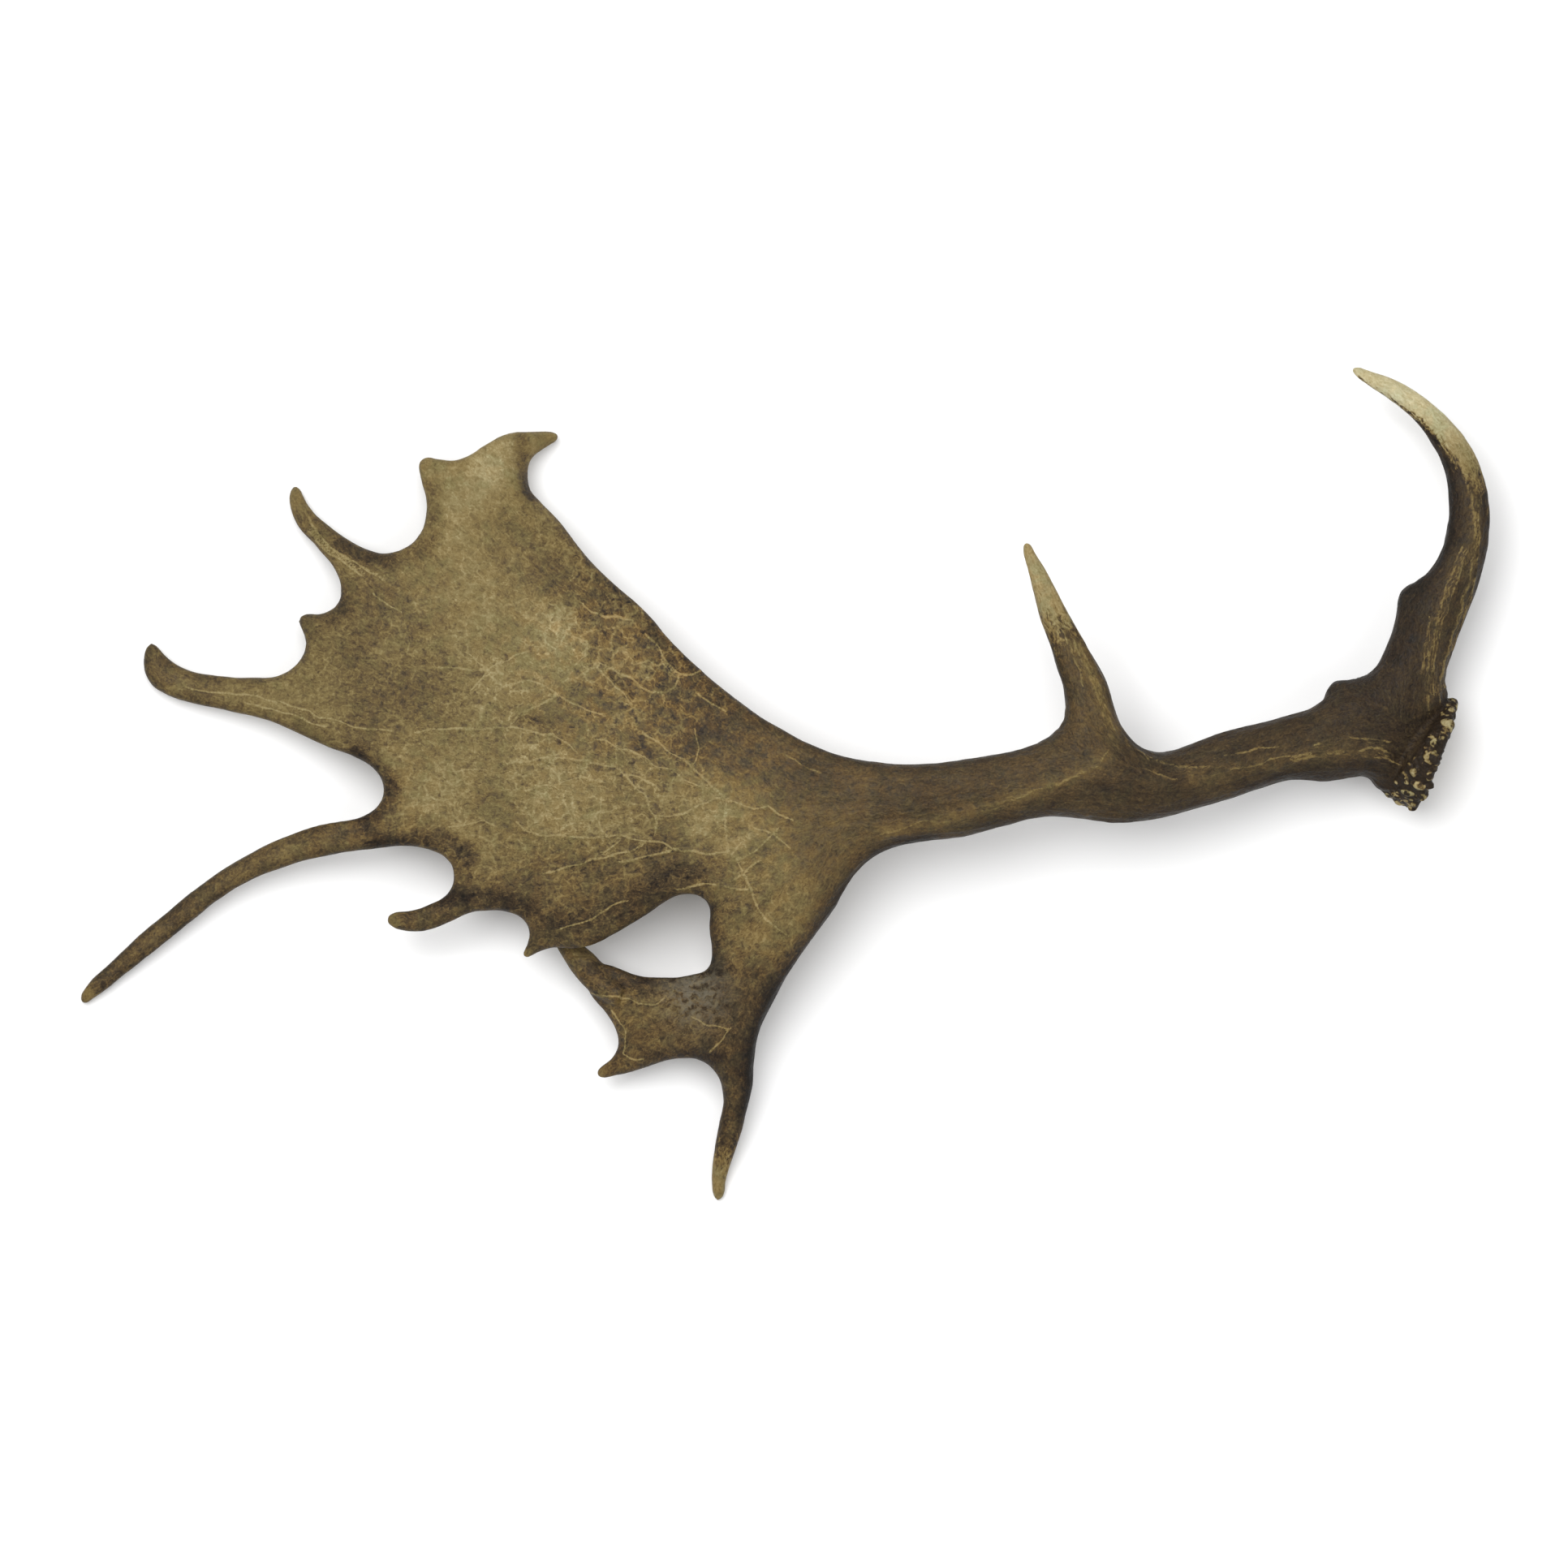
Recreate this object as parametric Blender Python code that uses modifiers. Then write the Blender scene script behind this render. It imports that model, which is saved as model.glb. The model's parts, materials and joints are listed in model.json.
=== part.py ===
"""A shed antler of a fallow deer, lying on its hollow side with the outer side up.

The antler is drawn flat first, as one outline, and swollen to its thickness like a film under pressure. It is
then lifted to the height that it has above the surface it lies on, joined to its coronet and its hidden spike,
and parted at its main forks. Outlines and places are in millimetres and are scaled once, by MM.
"""

import math

import bmesh
import bpy
import numpy as np
from mathutils import Matrix, Vector

MM = 0.001

# Driving dimensions, in metres
SAW_GAP = 0.0003
SLAB_HALF = 0.0024
SLAB_VOXEL = 0.0017
SKIN_VOXEL = 0.0012
CORONET_CENTRE = (0.2845, 0.0146, 0.0274)
CORONET_RADIUS = 0.0248
CORONET_HEADING = -27.0
CORONET_LEAN = 3.5
CORONET_FLARE = 0.60
SEAL_RADIUS = 0.0150
SEAL_FLAT_HEIGHT = 0.0034
SEAL_FLAT_WIDTH = 0.0230
PEARLS = 26
PEARL_SIZE = (0.0031, 0.0025, 0.0055)
CREST_HEIGHT = 0.0011
CREST_HALF_WIDTH = 0.0026
TRIANGLES = 9000

# The outline, anticlockwise from the coronet: the brow tine first, in millimetres
BROW_TINE_EDGE = [
    (284, 14), (292, 34), (293.4, 39.5), (291.9, 46), (294.4, 57), (300, 71.5), (306.6, 89), (310.6, 109),
    (310.8, 125), (307.3, 139.5), (301.5, 151.8), (292, 163), (281, 172.5), (269, 179.5), (257, 183.4),
    (252.9, 184.6), (250.9, 183.9), (251.4, 182.2), (256.6, 177.4), (267.5, 170), (279, 160), (287, 149),
    (292, 137.3), (293.1, 125), (292.4, 112), (288.5, 100), (280.5, 90.6), (273.8, 86.8), (271.6, 83.8),
    (270.5, 74), (265.6, 60), (259.5, 50.2),
]
BEAM_FRONT_EDGE = [
    (251.5, 46.9), (243, 45.8), (240.6, 43.2), (237.3, 37.1), (220, 30), (200, 25), (183, 19.8), (170, 15.3),
    (164, 14.7), (157, 17.2), (150.5, 23.5),
]
TREZ_TINE_EDGE = [
    (146, 33), (142.7, 44), (136, 57), (127.3, 72.5), (116.7, 92.6), (110.7, 102.4), (109.2, 105.3),
    (107.5, 106.5), (105.9, 105.8), (105.5, 103.5), (107.3, 95), (112.4, 76), (119.5, 55), (124, 38), (123, 28),
]
PALM_FRONT_EDGE = [
    (117, 21.5), (106, 16.3), (91, 13), (75, 10.5), (60, 9.2), (45, 9.8), (30, 12.2), (15, 17.2), (0, 24.8),
    (-15, 34.1), (-30, 46.1), (-45, 60.1), (-60, 76.5), (-75, 90), (-87, 102), (-97, 115.5), (-107, 126),
]
HOOK_POINT_EDGE = [
    (-111, 130.8), (-112.2, 137.5), (-110.6, 144.5), (-104, 149.9), (-99.3, 153.4), (-98.6, 155.2),
    (-100.2, 156.3), (-112, 156.5), (-121, 155.4), (-131, 150.5), (-139, 145.5), (-145, 143.7),
]
FRONT_CORNER_EDGE = [
    (-152, 144.5), (-157.6, 145), (-160.4, 142.2), (-159.8, 136), (-157, 126), (-157, 118), (-160, 110),
    (-166, 105), (-174, 102.8), (-182, 104),
]
SECOND_POINT_EDGE = [
    (-192, 109), (-200, 115), (-208, 122), (-212.4, 129), (-213.9, 132), (-215.6, 132.8), (-217.3, 131.2),
    (-217.8, 124), (-214.5, 115.5), (-205, 105), (-197, 95), (-194.4, 86.5), (-196, 80),
]
FIRST_SPUR_EDGE = [
    (-203, 75.8), (-211, 75.5), (-213.2, 73.4), (-212.4, 70.5), (-210.1, 64), (-212, 56.5), (-220, 49.8),
]
THIRD_POINT_EDGE = [
    (-235, 47.7), (-250, 48.8), (-265, 52), (-272.5, 57), (-276.8, 61.8), (-278.8, 63.2), (-281, 61.8),
    (-282.5, 56), (-280.6, 47), (-273, 40.5), (-260, 36), (-245, 33), (-230, 29.8), (-215, 23.8), (-200, 16.8),
    (-188, 12.8), (-179.5, 7.2), (-175.3, -0.5), (-176.5, -7), (-183.5, -12.8),
]
LONG_POINT_EDGE = [
    (-195, -15.8), (-210, -19.3), (-225, -25), (-240, -33), (-255, -42.3), (-270, -54.4), (-285, -66.8),
    (-300, -81), (-308, -89.5), (-310.7, -94.4), (-309.8, -96.6), (-305, -94), (-290, -83), (-270, -67.5),
    (-250, -51.5), (-235, -42), (-219, -35.8), (-200, -30.8), (-182, -28.4),
]
SECOND_SPUR_EDGE = [
    (-166, -26.7), (-154, -28.3), (-146.6, -33), (-144.3, -40), (-147.5, -48), (-156, -52.7), (-164, -55),
    (-171, -55.8), (-174.3, -58.6), (-172, -62.1), (-164, -64.2), (-155, -63.7), (-146, -60.2), (-137, -56.2),
    (-129, -54.9),
]
THIRD_SPUR_EDGE = [
    (-122, -55), (-114.5, -58.2), (-111.2, -64), (-112.2, -70.5), (-114.1, -75), (-112.8, -76), (-108, -74),
    (-100, -71.6), (-91, -71.9),
]
WINDOW_EDGE = [
    (-84, -70.2), (-74, -65.2), (-59, -56.5), (-49, -49.8), (-41, -47.6), (-34.5, -49.5), (-31.4, -54.5),
    (-31.9, -62), (-30.6, -74), (-32.5, -80.3), (-40, -83.2), (-52, -84.6), (-63, -83.9), (-71, -81), (-77, -78.8),
]
REAR_LOBE_EDGE = [
    (-83, -79.8), (-86, -84), (-84.6, -91.5), (-77.8, -100), (-73, -108), (-72.1, -114), (-74.5, -120.3),
    (-79.6, -124.3), (-81.6, -127), (-80, -128.9), (-74, -128.2), (-60, -124.5), (-46, -120.6), (-36, -121.3),
]
REAR_POINT_EDGE = [
    (-29, -127), (-26, -137), (-27.5, -149), (-30.2, -164), (-31, -175), (-30.2, -181.4), (-28, -184),
    (-25.8, -182), (-24.8, -175), (-20.5, -162), (-16.4, -148), (-12.8, -134), (-11.8, -120), (-9.4, -107),
]
BEAM_REAR_EDGE = [
    (-3.5, -95), (5, -80), (15, -66), (24, -53), (33, -38), (45, -28.8), (60, -24.8), (80, -22), (97, -17.8),
    (115, -13.7), (130, -14.2), (147, -16.3), (163, -14.9), (180, -10.8), (197, -5.8), (211, -1), (225, 2.5),
    (240, 1.9), (250, 3.2), (258, 3.6), (264, -2), (272, -2),
]
OUTLINE = (
    BROW_TINE_EDGE + BEAM_FRONT_EDGE + TREZ_TINE_EDGE + PALM_FRONT_EDGE + HOOK_POINT_EDGE + FRONT_CORNER_EDGE
    + SECOND_POINT_EDGE + FIRST_SPUR_EDGE + THIRD_POINT_EDGE + LONG_POINT_EDGE + SECOND_SPUR_EDGE
    + THIRD_SPUR_EDGE + WINDOW_EDGE + REAR_LOBE_EDGE + REAR_POINT_EDGE + BEAM_REAR_EDGE
)

# Heights of the antler's middle above the surface it lies on: x, y, height, in millimetres
HEIGHTS = [
    (284, 13, 29.5), (266, 26, 34), (240, 24, 41), (205, 11, 50), (170, 1, 57), (135, -1, 61), (100, -1, 63),
    (60, -8, 64), (30, -10, 63), (5, -12, 61), (276, 60, 38), (283, 95, 41), (301, 120, 44), (297, 142, 43),
    (281, 166, 40), (252, 183, 35), (136, 40, 64), (125, 70, 67), (107, 105, 70), (-30, 0, 61), (-30, 38, 57),
    (-75, 80, 47), (-70, 20, 59), (-110, 60, 51), (-100, 0, 55), (-105, -45, 47), (-80, -55, 46), (-150, 20, 45),
    (-150, 85, 36), (-158, 143, 17), (-138, 138, 23), (-121, 146, 23), (-113, 141, 17), (-99, 155, 6),
    (-110, 115, 33), (-190, 90, 26), (-205, 113, 14), (-216, 131, 1.8), (-212, 73, 19), (-200, 40, 29),
    (-245, 42, 14), (-280, 58, 6), (-190, -22, 32), (-245, -42, 17), (-309, -95, 4), (-172, -57, 31),
    (-112, -73, 37), (-30, -40, 58), (0, -60, 53), (-25, -80, 48), (5, -75, 48), (-40, -100, 40),
    (-66, -90, 37), (-70, -115, 30), (-80, -127, 25), (-18, -110, 35), (-21, -145, 18), (-28, -183, 2.4),
]
# Half the thickness that the antler keeps where it is broad: x, y, half thickness, in millimetres
HALF_THICKNESSES = [
    (280, 40, 40), (301, 120, 40), (240, 20, 30), (170, 0, 24), (130, 50, 40), (100, 0, 21), (60, -8, 18),
    (30, -12, 12.5), (5, -8, 9.5), (-30, 10, 7.5), (-60, -20, 6.5), (-70, 60, 5.2), (-110, 20, 5.4),
    (-110, 100, 5), (-130, -30, 5.5), (-160, 60, 5.2), (-190, 90, 5.5), (-200, 35, 5.8), (-240, 42, 6.5),
    (-190, -22, 6), (-250, -45, 7.5), (-105, 150, 6), (-15, -60, 9), (15, -58, 13), (5, -80, 12), (-25, -95, 7),
    (-60, -95, 5.4), (-62, -118, 5.2), (-15, -120, 10.5), (-25, -160, 14),
]
# The spike that passes under the palm's rim: x, y, height, radius, in millimetres
SPIKE = [
    (-70, -92.5, 33, 5.0), (-77.8, -88.2, 30.5, 6.3), (-86.8, -79.3, 28, 6.5), (-93.3, -72, 27, 5.2),
    (-99.3, -64.5, 26.5, 3.5), (-103.5, -58.7, 26.5, 1.8),
]
# How far the lobe's free corner hangs below the palm's rim, and where the drop begins and ends
LOBE_DROP = 0.0085
LOBE_DROP_START = -0.020
LOBE_DROP_END = -0.085
# Crests along the beam and tines, and the palm's main veins, on the upper side, in millimetres
CRESTS = [
    [(144, 16), (135, 6.5), (123, 0.5), (108, -4), (98, -8), (83, -13.5), (66, -17), (48, -21)],
    [(190, 5), (215, 11), (232, 14), (246, 16), (259, 18), (270, 16)],
    [(284, 34), (284, 45), (287, 60), (293, 78), (299, 98), (302, 115), (301, 130), (296, 145), (285, 160)],
    [(152, 18), (143, 30), (138, 42), (131, 55), (124, 68)],
    [(-60, 22), (-50, 16), (-40, 8.5), (-30, 1), (-24, -5), (-12, -9), (-5, -10), (3, -15)],
    [(-120, -20), (-103, -22), (-85, -24), (-62, -24), (-42, -27.5), (-24, -28.5), (-12, -46), (-4, -60)],
    [(-213, 120), (-196, 104), (-180, 90), (-160, 76)],
    [(-262, 43), (-235, 39), (-205, 31), (-175, 25)],
]
# Straight cuts at the main forks: two ends in plan, in millimetres
FORK_CUTS = {
    "brow_fork": ((255, 53.2), (298, 42.0)),
    "trez_fork": ((116, 26.5), (158, 26.5)),
    "rear_fork": ((-38, -49.6), (36, -41.4)),
    "palm_fork": ((5, 30), (10.5, -44.2)),
}
# A point in each piece: the solid nearest to it takes its name
PIECES = {
    "beam": (0.160, 0.0, 0.057),
    "brow_tine": (0.301, 0.120, 0.044),
    "trez_tine": (0.125, 0.070, 0.067),
    "palm": (-0.110, 0.040, 0.050),
    "rear_branch": (-0.015, -0.090, 0.045),
}
COLOURS = {
    "beam": (0.105, 0.078, 0.052),
    "brow_tine": (0.150, 0.118, 0.075),
    "trez_tine": (0.190, 0.155, 0.095),
    "palm": (0.215, 0.172, 0.095),
    "rear_branch": (0.155, 0.122, 0.072),
}


def clear_scene():
    for old in list(bpy.data.objects):
        bpy.data.objects.remove(old)


def make_collection(name, hidden=False):
    collection = bpy.data.collections.new(name)
    collection.hide_render = hidden
    bpy.context.scene.collection.children.link(collection)
    return collection


def add_object(name, data, collection):
    made = bpy.data.objects.new(name, data)
    collection.objects.link(made)
    return made


def add_modifier(target, kind, **settings):
    modifier = target.modifiers.new(kind.lower(), kind)
    for setting, value in settings.items():
        setattr(modifier, setting, value)
    return modifier


def settle(source, merge=0.0):
    """The object's evaluated shape in world space, as a new mesh object in its place."""
    bpy.context.view_layer.update()
    graph = bpy.context.evaluated_depsgraph_get()
    mesh = bpy.data.meshes.new_from_object(source.evaluated_get(graph))
    mesh.transform(source.matrix_world)
    name = source.name
    collection = source.users_collection[0]
    bpy.data.objects.remove(source)
    if merge:
        work = bmesh.new()
        work.from_mesh(mesh)
        bmesh.ops.remove_doubles(work, verts=work.verts, dist=merge)
        work.to_mesh(mesh)
        work.free()
    return add_object(name, mesh, collection)


def remesh(target, voxel):
    add_modifier(target, "REMESH", mode="VOXEL", voxel_size=voxel)
    return settle(target)


def read_points(mesh):
    points = np.empty(len(mesh.vertices) * 3)
    mesh.vertices.foreach_get("co", points)
    return points.reshape(-1, 3)


def write_points(mesh, points):
    mesh.vertices.foreach_set("co", points.ravel())
    mesh.update()


def make_spline(curve, kind, points):
    spline = curve.splines.new(kind)
    if kind == "BEZIER":
        spline.bezier_points.add(len(points) - 1)
        return spline, spline.bezier_points
    spline.points.add(len(points) - 1)
    return spline, spline.points


def flat_outline(collection):
    """The antler seen from above, as a thin slab with an even grid on both faces."""
    curve = bpy.data.curves.new("outline", "CURVE")
    curve.dimensions = "2D"
    curve.fill_mode = "BOTH"
    curve.extrude = SLAB_HALF
    curve.resolution_u = 6
    spline, places = make_spline(curve, "BEZIER", OUTLINE)
    for place, (x, y) in zip(places, OUTLINE):
        place.co = (x * MM, y * MM, 0)
        place.handle_left_type = "AUTO"
        place.handle_right_type = "AUTO"
    spline.use_cyclic_u = True
    slab = settle(add_object("outline", curve, collection), merge=1e-6)
    return remesh(slab, SLAB_VOXEL)


def plate_kernel(offsets):
    squares = (offsets**2).sum(axis=-1)
    return squares * np.log(squares + 1e-12)


def thin_plate(posts):
    """A function for the sheet through the posts that bends least."""
    sites = np.array(posts)[:, :2] * MM
    heights = np.array(posts)[:, 2] * MM
    count = len(sites)
    plane = np.column_stack([np.ones(count), sites])
    system = np.zeros((count + 3, count + 3))
    system[:count, :count] = plate_kernel(sites[:, None] - sites[None])
    system[:count, count:] = plane
    system[count:, :count] = plane.T
    weights = np.linalg.solve(system, np.append(heights, [0, 0, 0]))

    def sheet(x, y):
        where = np.column_stack([x, y])
        bend = plate_kernel(where[:, None] - sites[None]) @ weights[:count]
        return bend + weights[count] + where @ weights[count + 1:]

    return sheet


def half_thickness(x, y):
    """The half thickness near each point, as a smooth mean of the places where it is given."""
    posts = np.array(HALF_THICKNESSES) * MM
    squares = (x[:, None] - posts[:, 0]) ** 2 + (y[:, None] - posts[:, 1]) ** 2
    pull = 1 / (squares + (8 * MM) ** 2) ** 2
    return np.exp((pull * np.log(posts[:, 2])).sum(axis=1) / pull.sum(axis=1))


def lobe_drop(x, y):
    """The lobe turns down towards its free corner. Its side of the window lies below this line."""
    line = -0.066 + 0.15 * (x + 0.025)
    in_lobe = (y < line) & (x > -0.095)
    share = np.clip((LOBE_DROP_START - x) / (LOBE_DROP_START - LOBE_DROP_END), 0, 1)
    return np.where(in_lobe, LOBE_DROP * share**2 * (3 - 2 * share), 0)


def swell(slab, sheet):
    """Swells the slab like a film that is held at its rim, and lifts it onto the sheet of heights."""
    mesh = slab.data
    points = read_points(mesh)
    x, y, z = points.T
    limit = half_thickness(x, y)
    ends = np.empty(len(mesh.edges) * 2, np.int64)
    mesh.edges.foreach_get("vertices", ends)
    ends = ends.reshape(-1, 2)
    first = ends[:, 0]
    second = ends[:, 1]
    count = len(points)
    neighbours = np.bincount(first, minlength=count) + np.bincount(second, minlength=count)
    rim = np.abs(z) < 0.8 * SLAB_HALF
    film = np.zeros(count)
    for _ in range(900):
        total = np.bincount(first, film[second], count) + np.bincount(second, film[first], count)
        film = (total / neighbours + SLAB_VOXEL**2 / 2) / (1 + SLAB_VOXEL**2 / (2 * limit**2))
        film[rim] = 0
    depth = np.where(rim, 0.2 * z, np.sign(z) * np.sqrt(film))
    depth += np.where(z > 0, crest_rise(x, y), 0)
    points[:, 2] = sheet(x, y) - lobe_drop(x, y) + depth
    write_points(mesh, points)
    return slab


def distance_to_path(x, y, path):
    """The distance in plan from each point to a line through the path's points."""
    nearest = np.full(len(x), np.inf)
    corners = np.array(path) * MM
    for start, end in zip(corners[:-1], corners[1:]):
        run = end - start
        along = ((x - start[0]) * run[0] + (y - start[1]) * run[1]) / (run @ run)
        along = np.clip(along, 0, 1)
        gap = np.hypot(x - start[0] - along * run[0], y - start[1] - along * run[1])
        nearest = np.minimum(nearest, gap)
    return nearest


def crest_rise(x, y):
    rise = np.zeros(len(x))
    for crest in CRESTS:
        share = distance_to_path(x, y, crest) / CREST_HALF_WIDTH
        rise = np.maximum(rise, CREST_HEIGHT * np.exp(-(share**2)))
    return rise


def spike(collection):
    """The lobe's spike, a tapering rod whose tip is hidden under the palm."""
    curve = bpy.data.curves.new("spike", "CURVE")
    curve.dimensions = "3D"
    curve.bevel_depth = MM
    curve.bevel_resolution = 4
    curve.resolution_u = 6
    curve.use_fill_caps = True
    _, places = make_spline(curve, "BEZIER", SPIKE)
    for place, (x, y, height, radius) in zip(places, SPIKE):
        place.co = (x * MM, y * MM, height * MM)
        place.radius = radius
        place.handle_left_type = "AUTO"
        place.handle_right_type = "AUTO"
    return settle(add_object("spike", curve, collection), merge=1e-6)


def coronet_frame():
    """Places a shape made round +Z, with +Z out of the base, at the coronet."""
    heading = Matrix.Rotation(math.radians(CORONET_HEADING), 4, "Z")
    lean = Matrix.Rotation(math.radians(90 + CORONET_LEAN), 4, "Y")
    return Matrix.Translation(CORONET_CENTRE) @ heading @ lean


def coronet_swell(x, y):
    """How much thicker than its mean the coronet is. It is thickest on the side away from the brow tine."""
    reach = np.hypot(x, y)
    share = np.clip((reach - SEAL_RADIUS) / (CORONET_RADIUS - SEAL_RADIUS), 0, 1)
    return 1 - CORONET_FLARE * share * y / np.maximum(reach, MM)


def turned(name, profile, collection):
    """A profile of (radius, height) points in millimetres, from the top down, turned round Z."""
    mesh = bpy.data.meshes.new(name)
    points = [(radius * MM, 0, height * MM) for radius, height in profile]
    mesh.from_pydata(points, [(i, i + 1) for i in range(len(points) - 1)], [])
    body = add_object(name, mesh, collection)
    add_modifier(
        body, "SCREW", axis="Z", angle=math.tau, steps=64, render_steps=64, use_merge_vertices=True,
        merge_threshold=1e-5,
    )
    return body


def coronet(collection):
    """The ring at the base with its swollen seal, and the pearls that stand round it."""
    profile = [
        (0, 4.4), (6, 4.1), (10, 3.4), (14, 2.6), (18, 3.1), (22, 4.7), (24.4, 3.6), (25.2, 0),
        (24.6, -3.2), (22.8, -5.8), (20, -8), (17, -11.5), (12, -15), (0, -16),
    ]
    ring = settle(turned("coronet", profile, collection), merge=1e-6)
    points = read_points(ring.data)
    points[:, 2] *= coronet_swell(points[:, 0], points[:, 1])
    write_points(ring.data, points)
    ring.data.transform(coronet_frame())
    bodies = [ring]
    random = np.random.RandomState(7)
    for number in range(PEARLS):
        turn = math.tau * (number + random.uniform(-0.18, 0.18)) / PEARLS
        size = Vector(PEARL_SIZE) * random.uniform(0.82, 1.15)
        height = random.uniform(-1.3, 1.1) * MM
        work = bmesh.new()
        bmesh.ops.create_uvsphere(work, u_segments=12, v_segments=8, radius=1)
        mesh = bpy.data.meshes.new("pearl")
        work.to_mesh(mesh)
        work.free()
        pearl = add_object("pearl", mesh, collection)
        radius = CORONET_RADIUS - 0.5 * MM + random.uniform(-0.4, 0.4) * MM
        size.z *= coronet_swell(radius * math.cos(turn), radius * math.sin(turn))
        place = Matrix.Rotation(turn, 4, "Z") @ Matrix.Translation((radius, 0, height))
        pearl.matrix_world = coronet_frame() @ place @ Matrix.Diagonal((*size, 1))
        bodies.append(settle(pearl))
    return bodies


def join(bodies, name, collection):
    """One mesh that holds all the bodies, each still separate."""
    work = bmesh.new()
    for body in bodies:
        work.from_mesh(body.data)
    mesh = bpy.data.meshes.new(name)
    work.to_mesh(mesh)
    work.free()
    for body in bodies:
        bpy.data.objects.remove(body)
    return add_object(name, mesh, collection)


def block(name, size, place, collection):
    work = bmesh.new()
    bmesh.ops.create_cube(work, size=1)
    mesh = bpy.data.meshes.new(name)
    work.to_mesh(mesh)
    work.free()
    cutter = add_object(name, mesh, collection)
    cutter.matrix_world = place @ Matrix.Diagonal((*size, 1))
    cutter.hide_render = True
    cutter.display_type = "WIRE"
    return cutter


def fork_saws(collection):
    """A thin upright blade through each main fork."""
    saws = []
    for name, ends in FORK_CUTS.items():
        start, end = (Vector((x * MM, y * MM, 0.06)) for x, y in ends)
        run = end - start
        turn = Matrix.Rotation(math.atan2(run.y, run.x), 4, "Z")
        place = Matrix.Translation((start + end) / 2) @ turn
        saws.append(block(name, (run.length, SAW_GAP, 0.16), place, collection))
    return saws


def seal_plane(collection):
    """A block beyond the middle of the base seal, which leaves a small flat there."""
    height = 0.02
    place = coronet_frame() @ Matrix.Translation((0, 0, SEAL_FLAT_HEIGHT + height / 2))
    return block("seal_plane", (SEAL_FLAT_WIDTH, SEAL_FLAT_WIDTH, height), place, collection)


def cut(target, cutters):
    for cutter in cutters:
        add_modifier(target, "BOOLEAN", operation="DIFFERENCE", solver="EXACT", object=cutter)
    return settle(target)


def make_material(name, colour):
    material = bpy.data.materials.new(name)
    material.use_nodes = True
    shader = material.node_tree.nodes["Principled BSDF"]
    shader.inputs["Base Color"].default_value = (*colour, 1)
    shader.inputs["Roughness"].default_value = 0.55
    shader.inputs["Metallic"].default_value = 0
    material.diffuse_color = (*colour, 1)
    return material


def loose_parts(mesh):
    """The mesh's separate bodies, as sets of vertex numbers."""
    work = bmesh.new()
    work.from_mesh(mesh)
    work.verts.ensure_lookup_table()
    unseen = set(range(len(work.verts)))
    parts = []
    while unseen:
        part = {unseen.pop()}
        front = list(part)
        while front:
            edges = work.verts[front.pop()].link_edges
            for edge in edges:
                fresh = {vertex.index for vertex in edge.verts} & unseen
                part |= fresh
                unseen -= fresh
                front.extend(fresh)
        parts.append(part)
    work.free()
    return parts


def part_pieces(whole, collection, parent):
    """Gives each body that the cuts left its own object, by the point that it lies nearest to."""
    points = read_points(whole.data)
    parts = [part for part in loose_parts(whole.data) if len(part) > 60]
    for name, anchor in PIECES.items():
        gaps = [np.linalg.norm(points[sorted(part)] - anchor, axis=1).min() for part in parts]
        kept = parts[int(np.argmin(gaps))]
        work = bmesh.new()
        work.from_mesh(whole.data)
        work.verts.ensure_lookup_table()
        others = [vertex for vertex in work.verts if vertex.index not in kept]
        bmesh.ops.delete(work, geom=others, context="VERTS")
        mesh = bpy.data.meshes.new(name)
        work.to_mesh(mesh)
        work.free()
        mesh.shade_smooth()
        mesh.set_sharp_from_angle(angle=math.radians(50))
        mesh.materials.append(make_material(name, COLOURS[name]))
        piece = add_object(name, mesh, collection)
        piece.parent = parent
    bpy.data.objects.remove(whole)


def main():
    clear_scene()
    antler = make_collection("fallow_antler")
    cutters = make_collection("cutters", hidden=True)
    centre = add_object("antler_origin", None, antler)
    blade = swell(flat_outline(antler), thin_plate(HEIGHTS))
    whole = join([blade, spike(antler), *coronet(antler)], "whole", antler)
    add_modifier(whole, "REMESH", mode="VOXEL", voxel_size=SKIN_VOXEL)
    add_modifier(whole, "SMOOTH", factor=0.5, iterations=2)
    whole = settle(whole)
    faces = 2 * len(whole.data.polygons)
    add_modifier(whole, "DECIMATE", ratio=TRIANGLES / faces)
    whole = settle(whole)
    whole = cut(whole, fork_saws(cutters) + [seal_plane(cutters)])
    part_pieces(whole, antler, centre)


main()
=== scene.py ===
"""A shed antler of a fallow deer, as the photograph shows it from above, on a plain pale floor.

The antler is drawn flat, swollen like a film, lifted to its heights and joined to its coronet and spike, as the
solids are, but on a finer net. Fibres, veins, gutters and pearls are then raised on it, and it is parted at the
same forks. Places are in millimetres and are scaled once, by MM.
"""

import json
import math

import bmesh
import bpy
import numpy as np
from mathutils import Matrix, Vector

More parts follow.
